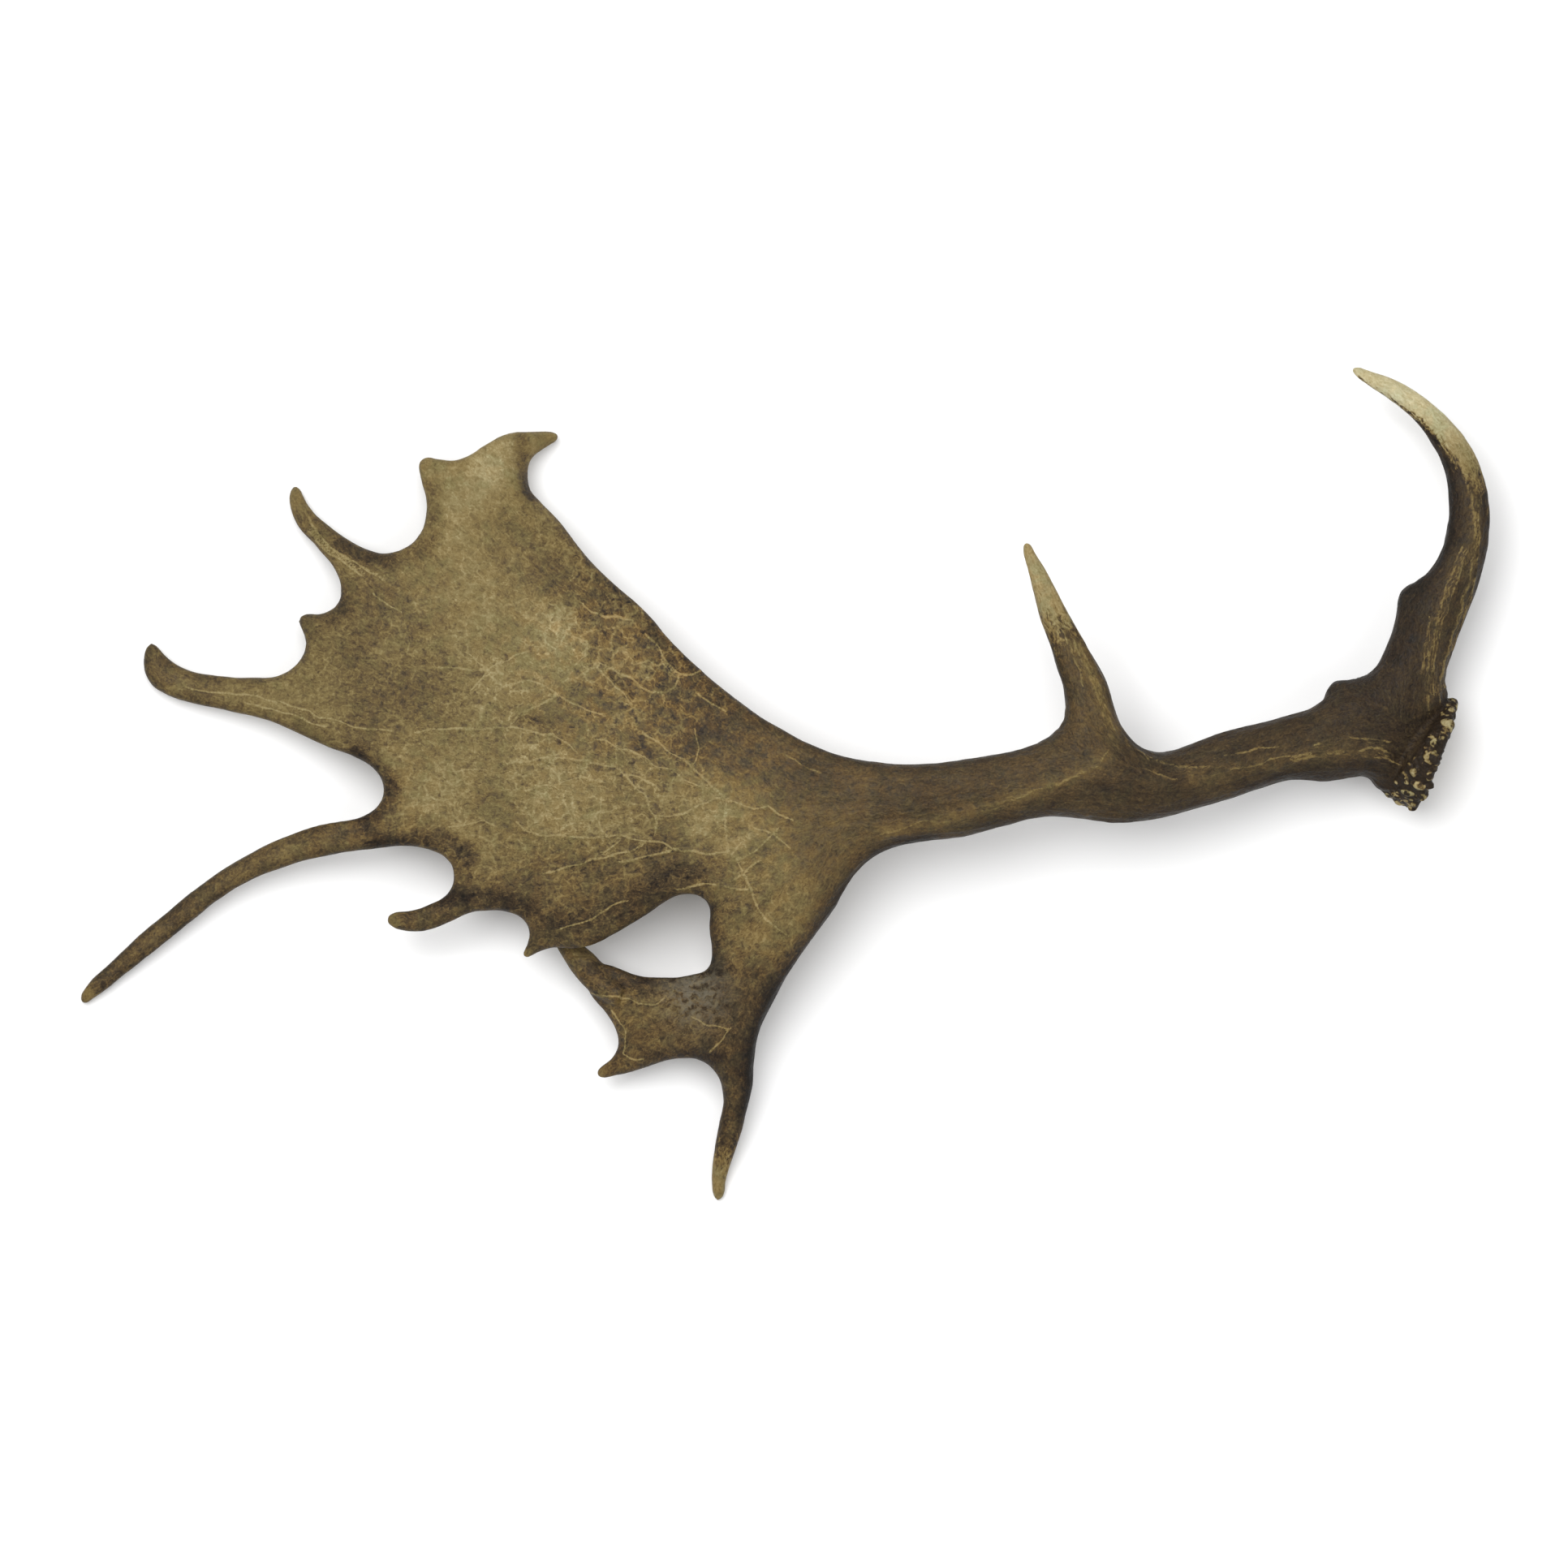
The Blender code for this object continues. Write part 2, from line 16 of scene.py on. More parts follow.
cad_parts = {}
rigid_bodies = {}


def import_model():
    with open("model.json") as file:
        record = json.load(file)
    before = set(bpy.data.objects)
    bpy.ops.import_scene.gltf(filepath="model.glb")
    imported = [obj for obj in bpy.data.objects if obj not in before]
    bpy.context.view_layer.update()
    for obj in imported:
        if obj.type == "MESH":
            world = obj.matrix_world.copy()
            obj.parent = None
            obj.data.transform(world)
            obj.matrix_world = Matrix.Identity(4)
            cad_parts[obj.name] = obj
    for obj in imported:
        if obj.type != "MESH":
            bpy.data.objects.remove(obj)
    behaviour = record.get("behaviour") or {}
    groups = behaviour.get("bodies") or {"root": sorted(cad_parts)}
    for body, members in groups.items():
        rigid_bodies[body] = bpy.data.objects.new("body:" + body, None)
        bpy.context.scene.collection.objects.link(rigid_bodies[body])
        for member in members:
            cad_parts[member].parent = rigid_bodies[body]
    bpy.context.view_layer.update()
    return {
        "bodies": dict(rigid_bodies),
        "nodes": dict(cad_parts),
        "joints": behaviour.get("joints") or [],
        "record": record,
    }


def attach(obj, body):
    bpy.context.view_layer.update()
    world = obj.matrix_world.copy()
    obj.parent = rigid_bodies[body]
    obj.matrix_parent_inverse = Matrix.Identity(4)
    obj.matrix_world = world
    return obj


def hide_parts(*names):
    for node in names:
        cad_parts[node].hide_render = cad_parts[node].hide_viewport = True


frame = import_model()

MM = 0.001

# The shape, as in the solids
SLAB_HALF = 0.0024
SLAB_VOXEL = 0.0010
SKIN_VOXEL = 0.00105
CORONET_REACH = 0.031
CORONET_CENTRE = (0.2845, 0.0146, 0.0274)
CORONET_RADIUS = 0.0248
CORONET_HEADING = -27.0
CORONET_LEAN = 3.5
CORONET_FLARE = 0.60
SEAL_RADIUS = 0.0150

# The outline, anticlockwise from the coronet: the brow tine first, in millimetres
BROW_TINE_EDGE = [
    (284, 14), (292, 34), (293.4, 39.5), (291.9, 46), (294.4, 57), (300, 71.5), (306.6, 89), (310.6, 109),
    (310.8, 125), (307.3, 139.5), (301.5, 151.8), (292, 163), (281, 172.5), (269, 179.5), (257, 183.4),
    (252.9, 184.6), (250.9, 183.9), (251.4, 182.2), (256.6, 177.4), (267.5, 170), (279, 160), (287, 149),
    (292, 137.3), (293.1, 125), (292.4, 112), (288.5, 100), (280.5, 90.6), (273.8, 86.8), (271.6, 83.8),
    (270.5, 74), (265.6, 60), (259.5, 50.2),
]
BEAM_FRONT_EDGE = [
    (251.5, 46.9), (243, 45.8), (240.6, 43.2), (237.3, 37.1), (220, 30), (200, 25), (183, 19.8), (170, 15.3),
    (164, 14.7), (157, 17.2), (150.5, 23.5),
]
TREZ_TINE_EDGE = [
    (146, 33), (142.7, 44), (136, 57), (127.3, 72.5), (116.7, 92.6), (110.7, 102.4), (109.2, 105.3),
    (107.5, 106.5), (105.9, 105.8), (105.5, 103.5), (107.3, 95), (112.4, 76), (119.5, 55), (124, 38), (123, 28),
]
PALM_FRONT_EDGE = [
    (117, 21.5), (106, 16.3), (91, 13), (75, 10.5), (60, 9.2), (45, 9.8), (30, 12.2), (15, 17.2), (0, 24.8),
    (-15, 34.1), (-30, 46.1), (-45, 60.1), (-60, 76.5), (-75, 90), (-87, 102), (-97, 115.5), (-107, 126),
]
HOOK_POINT_EDGE = [
    (-111, 130.8), (-112.2, 137.5), (-110.6, 144.5), (-104, 149.9), (-99.3, 153.4), (-98.6, 155.2),
    (-100.2, 156.3), (-112, 156.5), (-121, 155.4), (-131, 150.5), (-139, 145.5), (-145, 143.7),
]
FRONT_CORNER_EDGE = [
    (-152, 144.5), (-157.6, 145), (-160.4, 142.2), (-159.8, 136), (-157, 126), (-157, 118), (-160, 110),
    (-166, 105), (-174, 102.8), (-182, 104),
]
SECOND_POINT_EDGE = [
    (-192, 109), (-200, 115), (-208, 122), (-212.4, 129), (-213.9, 132), (-215.6, 132.8), (-217.3, 131.2),
    (-217.8, 124), (-214.5, 115.5), (-205, 105), (-197, 95), (-194.4, 86.5), (-196, 80),
]
FIRST_SPUR_EDGE = [
    (-203, 75.8), (-211, 75.5), (-213.2, 73.4), (-212.4, 70.5), (-210.1, 64), (-212, 56.5), (-220, 49.8),
]
THIRD_POINT_EDGE = [
    (-235, 47.7), (-250, 48.8), (-265, 52), (-272.5, 57), (-276.8, 61.8), (-278.8, 63.2), (-281, 61.8),
    (-282.5, 56), (-280.6, 47), (-273, 40.5), (-260, 36), (-245, 33), (-230, 29.8), (-215, 23.8), (-200, 16.8),
    (-188, 12.8), (-179.5, 7.2), (-175.3, -0.5), (-176.5, -7), (-183.5, -12.8),
]
LONG_POINT_EDGE = [
    (-195, -15.8), (-210, -19.3), (-225, -25), (-240, -33), (-255, -42.3), (-270, -54.4), (-285, -66.8),
    (-300, -81), (-308, -89.5), (-310.7, -94.4), (-309.8, -96.6), (-305, -94), (-290, -83), (-270, -67.5),
    (-250, -51.5), (-235, -42), (-219, -35.8), (-200, -30.8), (-182, -28.4),
]
SECOND_SPUR_EDGE = [
    (-166, -26.7), (-154, -28.3), (-146.6, -33), (-144.3, -40), (-147.5, -48), (-156, -52.7), (-164, -55),
    (-171, -55.8), (-174.3, -58.6), (-172, -62.1), (-164, -64.2), (-155, -63.7), (-146, -60.2), (-137, -56.2),
    (-129, -54.9),
]
THIRD_SPUR_EDGE = [
    (-122, -55), (-114.5, -58.2), (-111.2, -64), (-112.2, -70.5), (-114.1, -75), (-112.8, -76), (-108, -74),
    (-100, -71.6), (-91, -71.9),
]
WINDOW_EDGE = [
    (-84, -70.2), (-74, -65.2), (-59, -56.5), (-49, -49.8), (-41, -47.6), (-34.5, -49.5), (-31.4, -54.5),
    (-31.9, -62), (-30.6, -74), (-32.5, -80.3), (-40, -83.2), (-52, -84.6), (-63, -83.9), (-71, -81), (-77, -78.8),
]
REAR_LOBE_EDGE = [
    (-83, -79.8), (-86, -84), (-84.6, -91.5), (-77.8, -100), (-73, -108), (-72.1, -114), (-74.5, -120.3),
    (-79.6, -124.3), (-81.6, -127), (-80, -128.9), (-74, -128.2), (-60, -124.5), (-46, -120.6), (-36, -121.3),
]
REAR_POINT_EDGE = [
    (-29, -127), (-26, -137), (-27.5, -149), (-30.2, -164), (-31, -175), (-30.2, -181.4), (-28, -184),
    (-25.8, -182), (-24.8, -175), (-20.5, -162), (-16.4, -148), (-12.8, -134), (-11.8, -120), (-9.4, -107),
]
BEAM_REAR_EDGE = [
    (-3.5, -95), (5, -80), (15, -66), (24, -53), (33, -38), (45, -28.8), (60, -24.8), (80, -22), (97, -17.8),
    (115, -13.7), (130, -14.2), (147, -16.3), (163, -14.9), (180, -10.8), (197, -5.8), (211, -1), (225, 2.5),
    (240, 1.9), (250, 3.2), (258, 3.6), (264, -2), (272, -2),
]
OUTLINE = (
    BROW_TINE_EDGE + BEAM_FRONT_EDGE + TREZ_TINE_EDGE + PALM_FRONT_EDGE + HOOK_POINT_EDGE + FRONT_CORNER_EDGE
    + SECOND_POINT_EDGE + FIRST_SPUR_EDGE + THIRD_POINT_EDGE + LONG_POINT_EDGE + SECOND_SPUR_EDGE
    + THIRD_SPUR_EDGE + WINDOW_EDGE + REAR_LOBE_EDGE + REAR_POINT_EDGE + BEAM_REAR_EDGE
)
# Heights of the antler's middle above the floor: x, y, height
HEIGHTS = [
    (284, 13, 29.5), (266, 26, 34), (240, 24, 41), (205, 11, 50), (170, 1, 57), (135, -1, 61), (100, -1, 63),
    (60, -8, 64), (30, -10, 63), (5, -12, 61), (276, 60, 38), (283, 95, 41), (301, 120, 44), (297, 142, 43),
    (281, 166, 40), (252, 183, 35), (136, 40, 64), (125, 70, 67), (107, 105, 70), (-30, 0, 61), (-30, 38, 57),
    (-75, 80, 47), (-70, 20, 59), (-110, 60, 51), (-100, 0, 55), (-105, -45, 47), (-80, -55, 46), (-150, 20, 45),
    (-150, 85, 36), (-158, 143, 17), (-138, 138, 23), (-121, 146, 23), (-113, 141, 17), (-99, 155, 6),
    (-110, 115, 33), (-190, 90, 26), (-205, 113, 14), (-216, 131, 1.8), (-212, 73, 19), (-200, 40, 29),
    (-245, 42, 14), (-280, 58, 6), (-190, -22, 32), (-245, -42, 17), (-309, -95, 4), (-172, -57, 31),
    (-112, -73, 37), (-30, -40, 58), (0, -60, 53), (-25, -80, 48), (5, -75, 48), (-40, -100, 40),
    (-66, -90, 37), (-70, -115, 30), (-80, -127, 25), (-18, -110, 35), (-21, -145, 18), (-28, -183, 2.4),
]
# Half the thickness that the antler keeps where it is broad: x, y, half thickness
HALF_THICKNESSES = [
    (280, 40, 40), (301, 120, 40), (240, 20, 30), (170, 0, 24), (130, 50, 40), (100, 0, 21), (60, -8, 18),
    (30, -12, 12.5), (5, -8, 9.5), (-30, 10, 7.5), (-60, -20, 6.5), (-70, 60, 5.2), (-110, 20, 5.4),
    (-110, 100, 5), (-130, -30, 5.5), (-160, 60, 5.2), (-190, 90, 5.5), (-200, 35, 5.8), (-240, 42, 6.5),
    (-190, -22, 6), (-250, -45, 7.5), (-105, 150, 6), (-15, -60, 9), (15, -58, 13), (5, -80, 12), (-25, -95, 7),
    (-60, -95, 5.4), (-62, -118, 5.2), (-15, -120, 10.5), (-25, -160, 14),
]
# The spike that passes under the palm's rim: x, y, height, radius
SPIKE = [
    (-70, -92.5, 33, 5.0), (-77.8, -88.2, 30.5, 6.3), (-86.8, -79.3, 28, 6.5), (-93.3, -72, 27, 5.2),
    (-99.3, -64.5, 26.5, 3.5), (-103.5, -58.7, 26.5, 1.8),
]
LOBE_DROP = 0.0085
LOBE_DROP_START = -0.020
LOBE_DROP_END = -0.085
# Straight cuts at the main forks: two ends in plan
FORK_CUTS = [
    ((255, 53.2), (298, 42.0)),
    ((116, 26.5), (158, 26.5)),
    ((-38, -49.6), (36, -41.4)),
    ((5, 30), (10.5, -44.2)),
]
# A point in each piece: the part of the skin nearest to it takes its name
PIECES = {
    "beam": (0.160, 0.0, 0.057),
    "brow_tine": (0.301, 0.120, 0.044),
    "trez_tine": (0.125, 0.070, 0.067),
    "palm": (-0.110, 0.040, 0.050),
    "rear_branch": (-0.015, -0.090, 0.045),
}

# Lines that the bone's fibres follow, from the coronet outwards
FLOW_LINES = [
    [(290, 12), (266, 24), (240, 24), (205, 11), (170, 1), (135, -1), (100, -3), (60, -8), (30, -8), (5, -8)],
    [(272, 28), (276, 60), (285, 88), (298, 107), (302, 125), (299, 142), (287, 158), (268, 173), (252, 183)],
    [(158, 4), (140, 28), (128, 58), (114, 88), (107, 105)],
    [(5, 2), (-25, 20), (-60, 60), (-85, 96), (-103, 125), (-116, 142)],
    [(-116, 148), (-108, 153), (-99, 155)],
    [(-10, 0), (-50, 35), (-95, 85), (-130, 120), (-155, 143)],
    [(-15, -2), (-60, 20), (-120, 55), (-175, 85), (-200, 104), (-216, 131)],
    [(-120, 40), (-170, 60), (-212, 74)],
    [(-20, -8), (-70, 0), (-130, 20), (-180, 28), (-225, 38), (-262, 44), (-276, 49), (-280, 60)],
    [(-20, -15), (-70, -18), (-130, -18), (-180, -22), (-225, -33), (-265, -57), (-309, -95)],
    [(-60, -30), (-105, -38), (-140, -46), (-152, -57), (-172, -59)],
    [(-60, -38), (-95, -55), (-113, -74)],
    [(18, -30), (2, -58), (-17, -90), (-18, -120), (-22, -148), (-28, -183)],
    [(-10, -80), (-40, -97), (-65, -108), (-80, -127)],
    [(-25, -84), (-60, -89), (-80, -86), (-93, -72), (-103, -59)],
]
# The palm's veins, raised and pale: half width, then points
VEINS = [
    (0.50, [(-24, -5), (-30, 0), (-35, 5), (-40, 9.5), (-48, 14.5), (-52, 18), (-60, 23)]),
    (0.38, [(-33, -1), (-38, 1), (-43, 3), (-48, 7), (-55, 8), (-60, 12), (-66, 15), (-74, 18), (-80, 20)]),
    (0.48, [(-55, -20), (-55, -14), (-58, -10), (-60, -4), (-65, 0), (-68, 4), (-72, 7.5), (-78, 9.5),
            (-85, 10.5), (-92, 11.5), (-104, 12), (-120, 10)]),
    (0.50, [(-24, -5), (-30, -5.5), (-36, -8), (-41, -12), (-48, -13), (-55, -14)]),
    (0.50, [(-24, -5), (-24.5, -13), (-24, -20), (-23, -29)]),
    (0.42, [(-24, -6), (-18, -8), (-12, -10), (-6, -9), (-1, -13), (4, -15)]),
    (0.50, [(-116, -17), (-112, -20), (-103, -22), (-96, -21), (-88, -23), (-80, -23), (-70, -22), (-62, -24),
            (-52, -24.5), (-48, -27), (-40, -28.5), (-30, -30), (-24, -29), (-20, -32), (-16, -39),
            (-13, -46), (-10, -54), (-6, -59), (2, -65)]),
    (0.46, [(-104, -38.5), (-95, -36), (-86, -33.5), (-80, -32), (-75, -30.5), (-66, -29), (-60, -25)]),
    (0.40, [(-78, -29), (-72, -25)]),
    (0.42, [(-70, -34), (-60, -31), (-50, -28.5), (-46, -27)]),
    (0.40, [(-19, -32.5), (-12, -29), (-6, -23), (-2, -19)]),
    (0.36, [(-12, -18), (-4, -21), (4, -27)]),
    (0.36, [(-79, -5), (-80, -15), (-79, -20), (-76, -23)]),
    (0.36, [(-112, -2), (-100, 0.5), (-90, 3), (-84, 3.5), (-78, 2)]),
    (0.36, [(-68, 4), (-62, 4), (-58, 2), (-54, -2)]),
    (0.34, [(-72, 18), (-72, 9)]),
    (0.34, [(-38, 24), (-36, 16), (-39, 10)]),
    (0.50, [(-78, 31), (-86, 33), (-92, 36), (-98, 40), (-104, 36), (-110, 33), (-115, 31.5), (-117, 29)]),
    (0.46, [(-160, 24), (-150, 24.5), (-140, 25), (-130, 25), (-118, 26), (-112, 24.5), (-105, 22.5),
            (-100, 23), (-96, 20), (-90, 15)]),
    (0.36, [(-150, 7), (-145, 6.5), (-138, 7), (-130, 6.5)]),
    (0.44, [(-126, -17), (-131, -15.5), (-138, -17.5), (-146, -18.5)]),
    (0.40, [(-150, 52), (-140, 51), (-128, 51), (-122, 55), (-113, 58)]),
    (0.40, [(-139, 58), (-132, 54), (-128, 51), (-136, 42)]),
    (0.38, [(-120, 44), (-112, 46), (-105, 45), (-98, 40)]),
    (0.42, [(-88, 80), (-84, 76), (-78, 74), (-72, 74), (-66, 73)]),
    (0.42, [(-96, 67), (-90, 65), (-85, 63), (-86, 57), (-90, 53)]),
    (0.48, [(-78, 50), (-73, 44), (-70, 41), (-66, 36)]),
    (0.46, [(-86, 49), (-80, 54), (-74, 52), (-68, 48), (-62, 44), (-57, 41), (-51, 41), (-47, 44), (-45, 48)]),
    (0.42, [(-64, 53), (-58, 55), (-54, 52), (-52, 54), (-49, 50)]),
    (0.42, [(-59, 66), (-54, 60), (-50, 54), (-46, 50), (-40, 48), (-36, 50)]),
    (0.38, [(-37, 40), (-30, 36), (-25, 33)]),
    (0.55, [(-213, 124), (-206, 112), (-200, 106), (-195, 102), (-188, 98), (-182, 94), (-176, 91)]),
    (0.50, [(-209, 112), (-202, 104), (-194, 99), (-186, 93)]),
    (0.40, [(-180, 84), (-174, 80), (-168, 77)]),
    (0.40, [(-264, 43), (-240, 40.5), (-222, 37), (-205, 31), (-188, 26), (-172, 24)]),
    (0.38, [(-236, 36), (-215, 31), (-200, 26)]),
    (0.42, [(-45, -45), (-34, -43.4), (-24, -43.8), (-15, -45)]),
    (0.40, [(-98, -63), (-91, -60.6), (-83, -58), (-75, -53), (-68, -51)]),
    (0.40, [(-21, -41), (-15, -36), (-10, -33)]),
    (0.42, [(-85, -91.5), (-77, -92.5), (-69, -93.6), (-63, -95.8), (-56, -96.5), (-52, -94)]),
    (0.42, [(-39, -102), (-34, -104), (-28, -106), (-24, -107)]),
    (0.36, [(-31, -117), (-26, -112), (-23, -107)]),
    (0.36, [(-74, -100), (-68, -108), (-70, -118), (-62, -121)]),
]
# Fine pale stripes along the beam and its tines: half width, then points
STRIPES = [
    (0.50, [(285, 33), (283.8, 38), (283.3, 47), (284, 56), (286, 66), (289, 79), (294, 92), (299, 106)]),
    (0.40, [(286.3, 40), (286, 52), (288, 64), (292, 79), (297, 92), (300.5, 103)]),
    (0.60, [(289.3, 37), (288.6, 42), (290.2, 52), (294, 66), (298.5, 79), (302, 91), (304, 104), (303.8, 118),
            (302, 130), (298, 141), (292, 150)]),
    (0.45, [(291, 43), (293, 55), (297.5, 69), (302, 82), (305.5, 96), (306, 112), (304.5, 126)]),
    (0.40, [(281.4, 50), (282, 62), (284.5, 74)]),
    (0.45, [(234, 18), (241, 20.2), (250, 21.2), (259, 20.9), (267, 19.2)]),
    (0.80, [(225, 11.5), (234, 13.7), (241, 14.7), (246, 15.2)]),
    (0.70, [(254, 15.2), (258, 16.7), (262, 16.2), (266, 15)]),
    (0.50, [(262, 12.7), (266, 12.2), (271, 10)]),
    (0.45, [(196, 7), (208, 9.5), (220, 12.5), (230, 14.5)]),
    (0.40, [(190, 12), (204, 15), (218, 18)]),
    (0.55, [(150, 20.5), (155, 15.5), (161, 12.3), (169, 9.5), (177, 8.2), (188, 8.8)]),
    (0.40, [(158, 7), (165, 4.5), (172, 3)]),
    (0.50, [(146, 24), (143, 32), (139.5, 40), (136, 50), (131, 60)]),
    (0.42, [(141.5, 26), (139, 36), (134, 50), (128, 61)]),
    (0.36, [(133, 40), (129.5, 52), (125, 63)]),
    (0.50, [(143, 15), (137, 8.5), (127, 3), (113, -1.5), (101, -6)]),
    (0.40, [(2, 12.5), (9, 9), (17, 6)]),
    (0.36, [(66, -15), (54, -18), (44, -21)]),
]
# Broad lighter or darker marks: change of tone, half width, then points. Some are the bone's own tone, some painted
# light and painted shade.
TONE_AND_PAINTED_LIGHT_STROKES = [
    # Painted highlight on the crest that runs from the trez tine down the beam, and painted shade just below it
    (0.10, 4.0, [(141, 12), (128, 4), (112, -2), (98, -7), (80, -12), (62, -17), (46, -20)]),
    (-0.05, 4.0, [(140, 0), (122, -7), (105, -12), (88, -17)]),
    (0.09, 4.5, [(180, 3), (205, 8), (225, 12), (243, 15), (262, 15)]),
    (-0.06, 3.5, [(205, 0), (225, 5), (243, 6), (258, 8), (272, 3)]),
    (0.09, 3.5, [(284, 36), (285, 56), (290, 78), (298, 100)]),
    (0.10, 3.0, [(290, 42), (294, 62), (302, 86), (305, 108), (303, 128)]),
    (-0.06, 4.0, [(272, 55), (279, 84), (293, 106), (295, 124), (293, 140)]),
    (0.10, 4.0, [(146, 24), (139, 42), (130, 60)]),
    # Painted shade on the rounded right rim of the beam and rear branch, which turns away from the light
    (-0.22, 6.0, [(62, -27), (44, -32), (27, -50), (10, -75), (-4, -97), (-11, -118), (-13, -140)]),
    (-0.12, 5.0, [(-36, -44), (-32, -52), (-30, -66), (-30, -78)]),
    (-0.12, 4.0, [(-30, -120), (-44, -117), (-58, -120)]),
    # Painted shade on the hook point's side wall, which turns down away from the light
    (-0.24, 3.5, [(-115, 153), (-114.5, 143), (-113, 134), (-110, 128)]),
    (-0.16, 4.0, [(-153, 132), (-153, 120), (-154, 108), (-160, 102)]),
    (-0.16, 4.0, [(-172, 100), (-184, 101), (-194, 106)]),
    (-0.12, 3.5, [(-196, 84), (-192, 78), (-200, 72)]),
    (-0.16, 4.5, [(-186, 14), (-176, 7), (-171, -2), (-174, -10), (-184, -15)]),
    (-0.20, 4.5, [(-178, -26), (-160, -23), (-146, -24), (-138, -30)]),
    (-0.18, 4.5, [(-148, -50), (-136, -48), (-124, -50), (-112, -54)]),
    (-0.12, 5.0, [(-100, -62), (-82, -58), (-64, -50), (-46, -42)]),
    (-0.10, 4.0, [(-84, -80), (-72, -86), (-56, -88), (-42, -86)]),
    (-0.10, 4.0, [(-20, -19), (-32, -25), (-28, -36), (-40, -38), (-58, -38)]),
    (-0.08, 2.5, [(-64, -27), (-56, -28)]),
    (-0.14, 2.5, [(-115, 28.5), (-107, 28.5), (-101, 26)]),
    (-0.12, 3.0, [(-62, 17), (-56, 14)]),
    (-0.10, 2.2, [(-82, 62), (-84, 55)]),
    (-0.10, 2.5, [(-75, 49), (-70, 45), (-64, 40)]),
    (0.08, 2.5, [(-24, -12), (-40, -20), (-20, -27), (-12, -20)]),
]
# The edge of the brow tine's cream outer side, from its tip
BROW_PALE_EDGE = [
    (250, 181.5), (254, 178.6), (261, 174), (268, 168.8), (275, 164.5), (281, 160), (286.5, 154.5),
    (291, 149), (296, 140), (300.5, 131), (303.5, 120), (305, 108),
]
# How the cream fades to gold down the brow tine: height in the picture, tone
BROW_PALE_TONES = [(108, 0.30), (125, 0.38), (138, 0.48), (150, 0.62), (160, 0.78), (172, 0.86), (184, 0.84)]
# Worn tips: x, y, where the pale part begins to fade, where it ends, and its tone
PALE_TIPS = [
    (106.5, 105.5, 22, 60, 0.62), (-216, 132, 4, 26, 0.42), (-99, 155.5, 3, 16, 0.45), (-28, -184, 5, 40, 0.50),
    (-310, -96, 2, 18, 0.38), (-174, -58, 2, 14, 0.38), (-114, -75, 1, 8, 0.40), (-81, -128, 1, 8, 0.38),
]
# Where the bone is lighter or darker: x, y, tone from 0 to 1
TONES = [
    (-145, 132, 0.53), (-128, 143, 0.62), (-120, 118, 0.44), (-95, 100, 0.36), (-70, 76, 0.34), (-42, 52, 0.30),
    (-14, 30, 0.27), (-35, 22, 0.26), (16, 8, 0.25), (-132, 74, 0.48), (-102, 58, 0.56), (-86, 32, 0.42),
    (-60, 40, 0.36), (-52, 2, 0.44), (-28, -14, 0.50), (-8, -30, 0.44), (16, -24, 0.30), (-12, -56, 0.42),
    (-95, -2, 0.52), (-120, -18, 0.44), (-150, 8, 0.48), (-170, 40, 0.36), (-186, 62, 0.38), (-205, 92, 0.40),
    (-225, 36, 0.42), (-275, 50, 0.36), (-200, -24, 0.34), (-285, -78, 0.28), (-105, -46, 0.34), (-58, -34, 0.34),
    (-155, -58, 0.34), (-60, -100, 0.33), (-66, -116, 0.32), (-18, -100, 0.24), (-24, -150, 0.26),
    (60, -4, 0.23), (120, 6, 0.24), (160, 0, 0.19), (230, 14, 0.18), (276, 30, 0.14), (284, 74, 0.15),
    (298, 118, 0.16), (130, 48, 0.26),
]
# Where the fine net of veins is plain to see, and where the bone is reddish: x, y, value from 0 to 1
NET = [
    (-70, 60, 1.0), (-50, 48, 1.0), (-90, 45, 0.9), (-100, 20, 0.7), (-60, 12, 0.8), (-40, -20, 0.5),
    (-130, 90, 0.25), (-140, 125, 0.1), (-150, 20, 0.5), (-180, 50, 0.35), (-90, -15, 0.6), (-120, -30, 0.45),
    (-20, 15, 0.2), (10, -5, 0.0), (-10, -45, 0.5), (-60, -100, 0.35), (-20, -120, 0.1), (-230, 36, 0.15),
    (-230, -40, 0.1),
]
RED = [
    (-60, 70, 0.8), (-35, 45, 0.9), (-15, 30, 0.7), (-80, 60, 0.7), (20, -6, 0.5), (-110, 100, 0.2),
    (-140, 30, 0.1), (-60, -20, 0.2), (-70, -50, 0.5), (-78, -110, 0.6), (-40, -112, 0.6), (120, 0, 0.4),
    (240, 10, 0.35), (280, 80, 0.3), (-200, 30, 0.1), (-150, -10, 0.2), (-170, -14, 0.6),
]
# The grey sheen on the lobe: x, y, reach
SHEEN = (-38, -92, 13)

# The colours of the bone from its darkest tone to its palest
BONE_COLOURS = [
    (0.00, (29, 23, 16)), (0.10, (52, 41, 29)), (0.17, (67, 55, 37)), (0.22, (79, 65, 43)),
    (0.29, (98, 81, 52)), (0.36, (114, 97, 60)), (0.46, (135, 118, 74)), (0.55, (150, 134, 90)),
    (0.66, (170, 156, 113)), (0.80, (194, 184, 142)), (1.00, (227, 221, 184)),
]
SECTOR = math.radians(12)
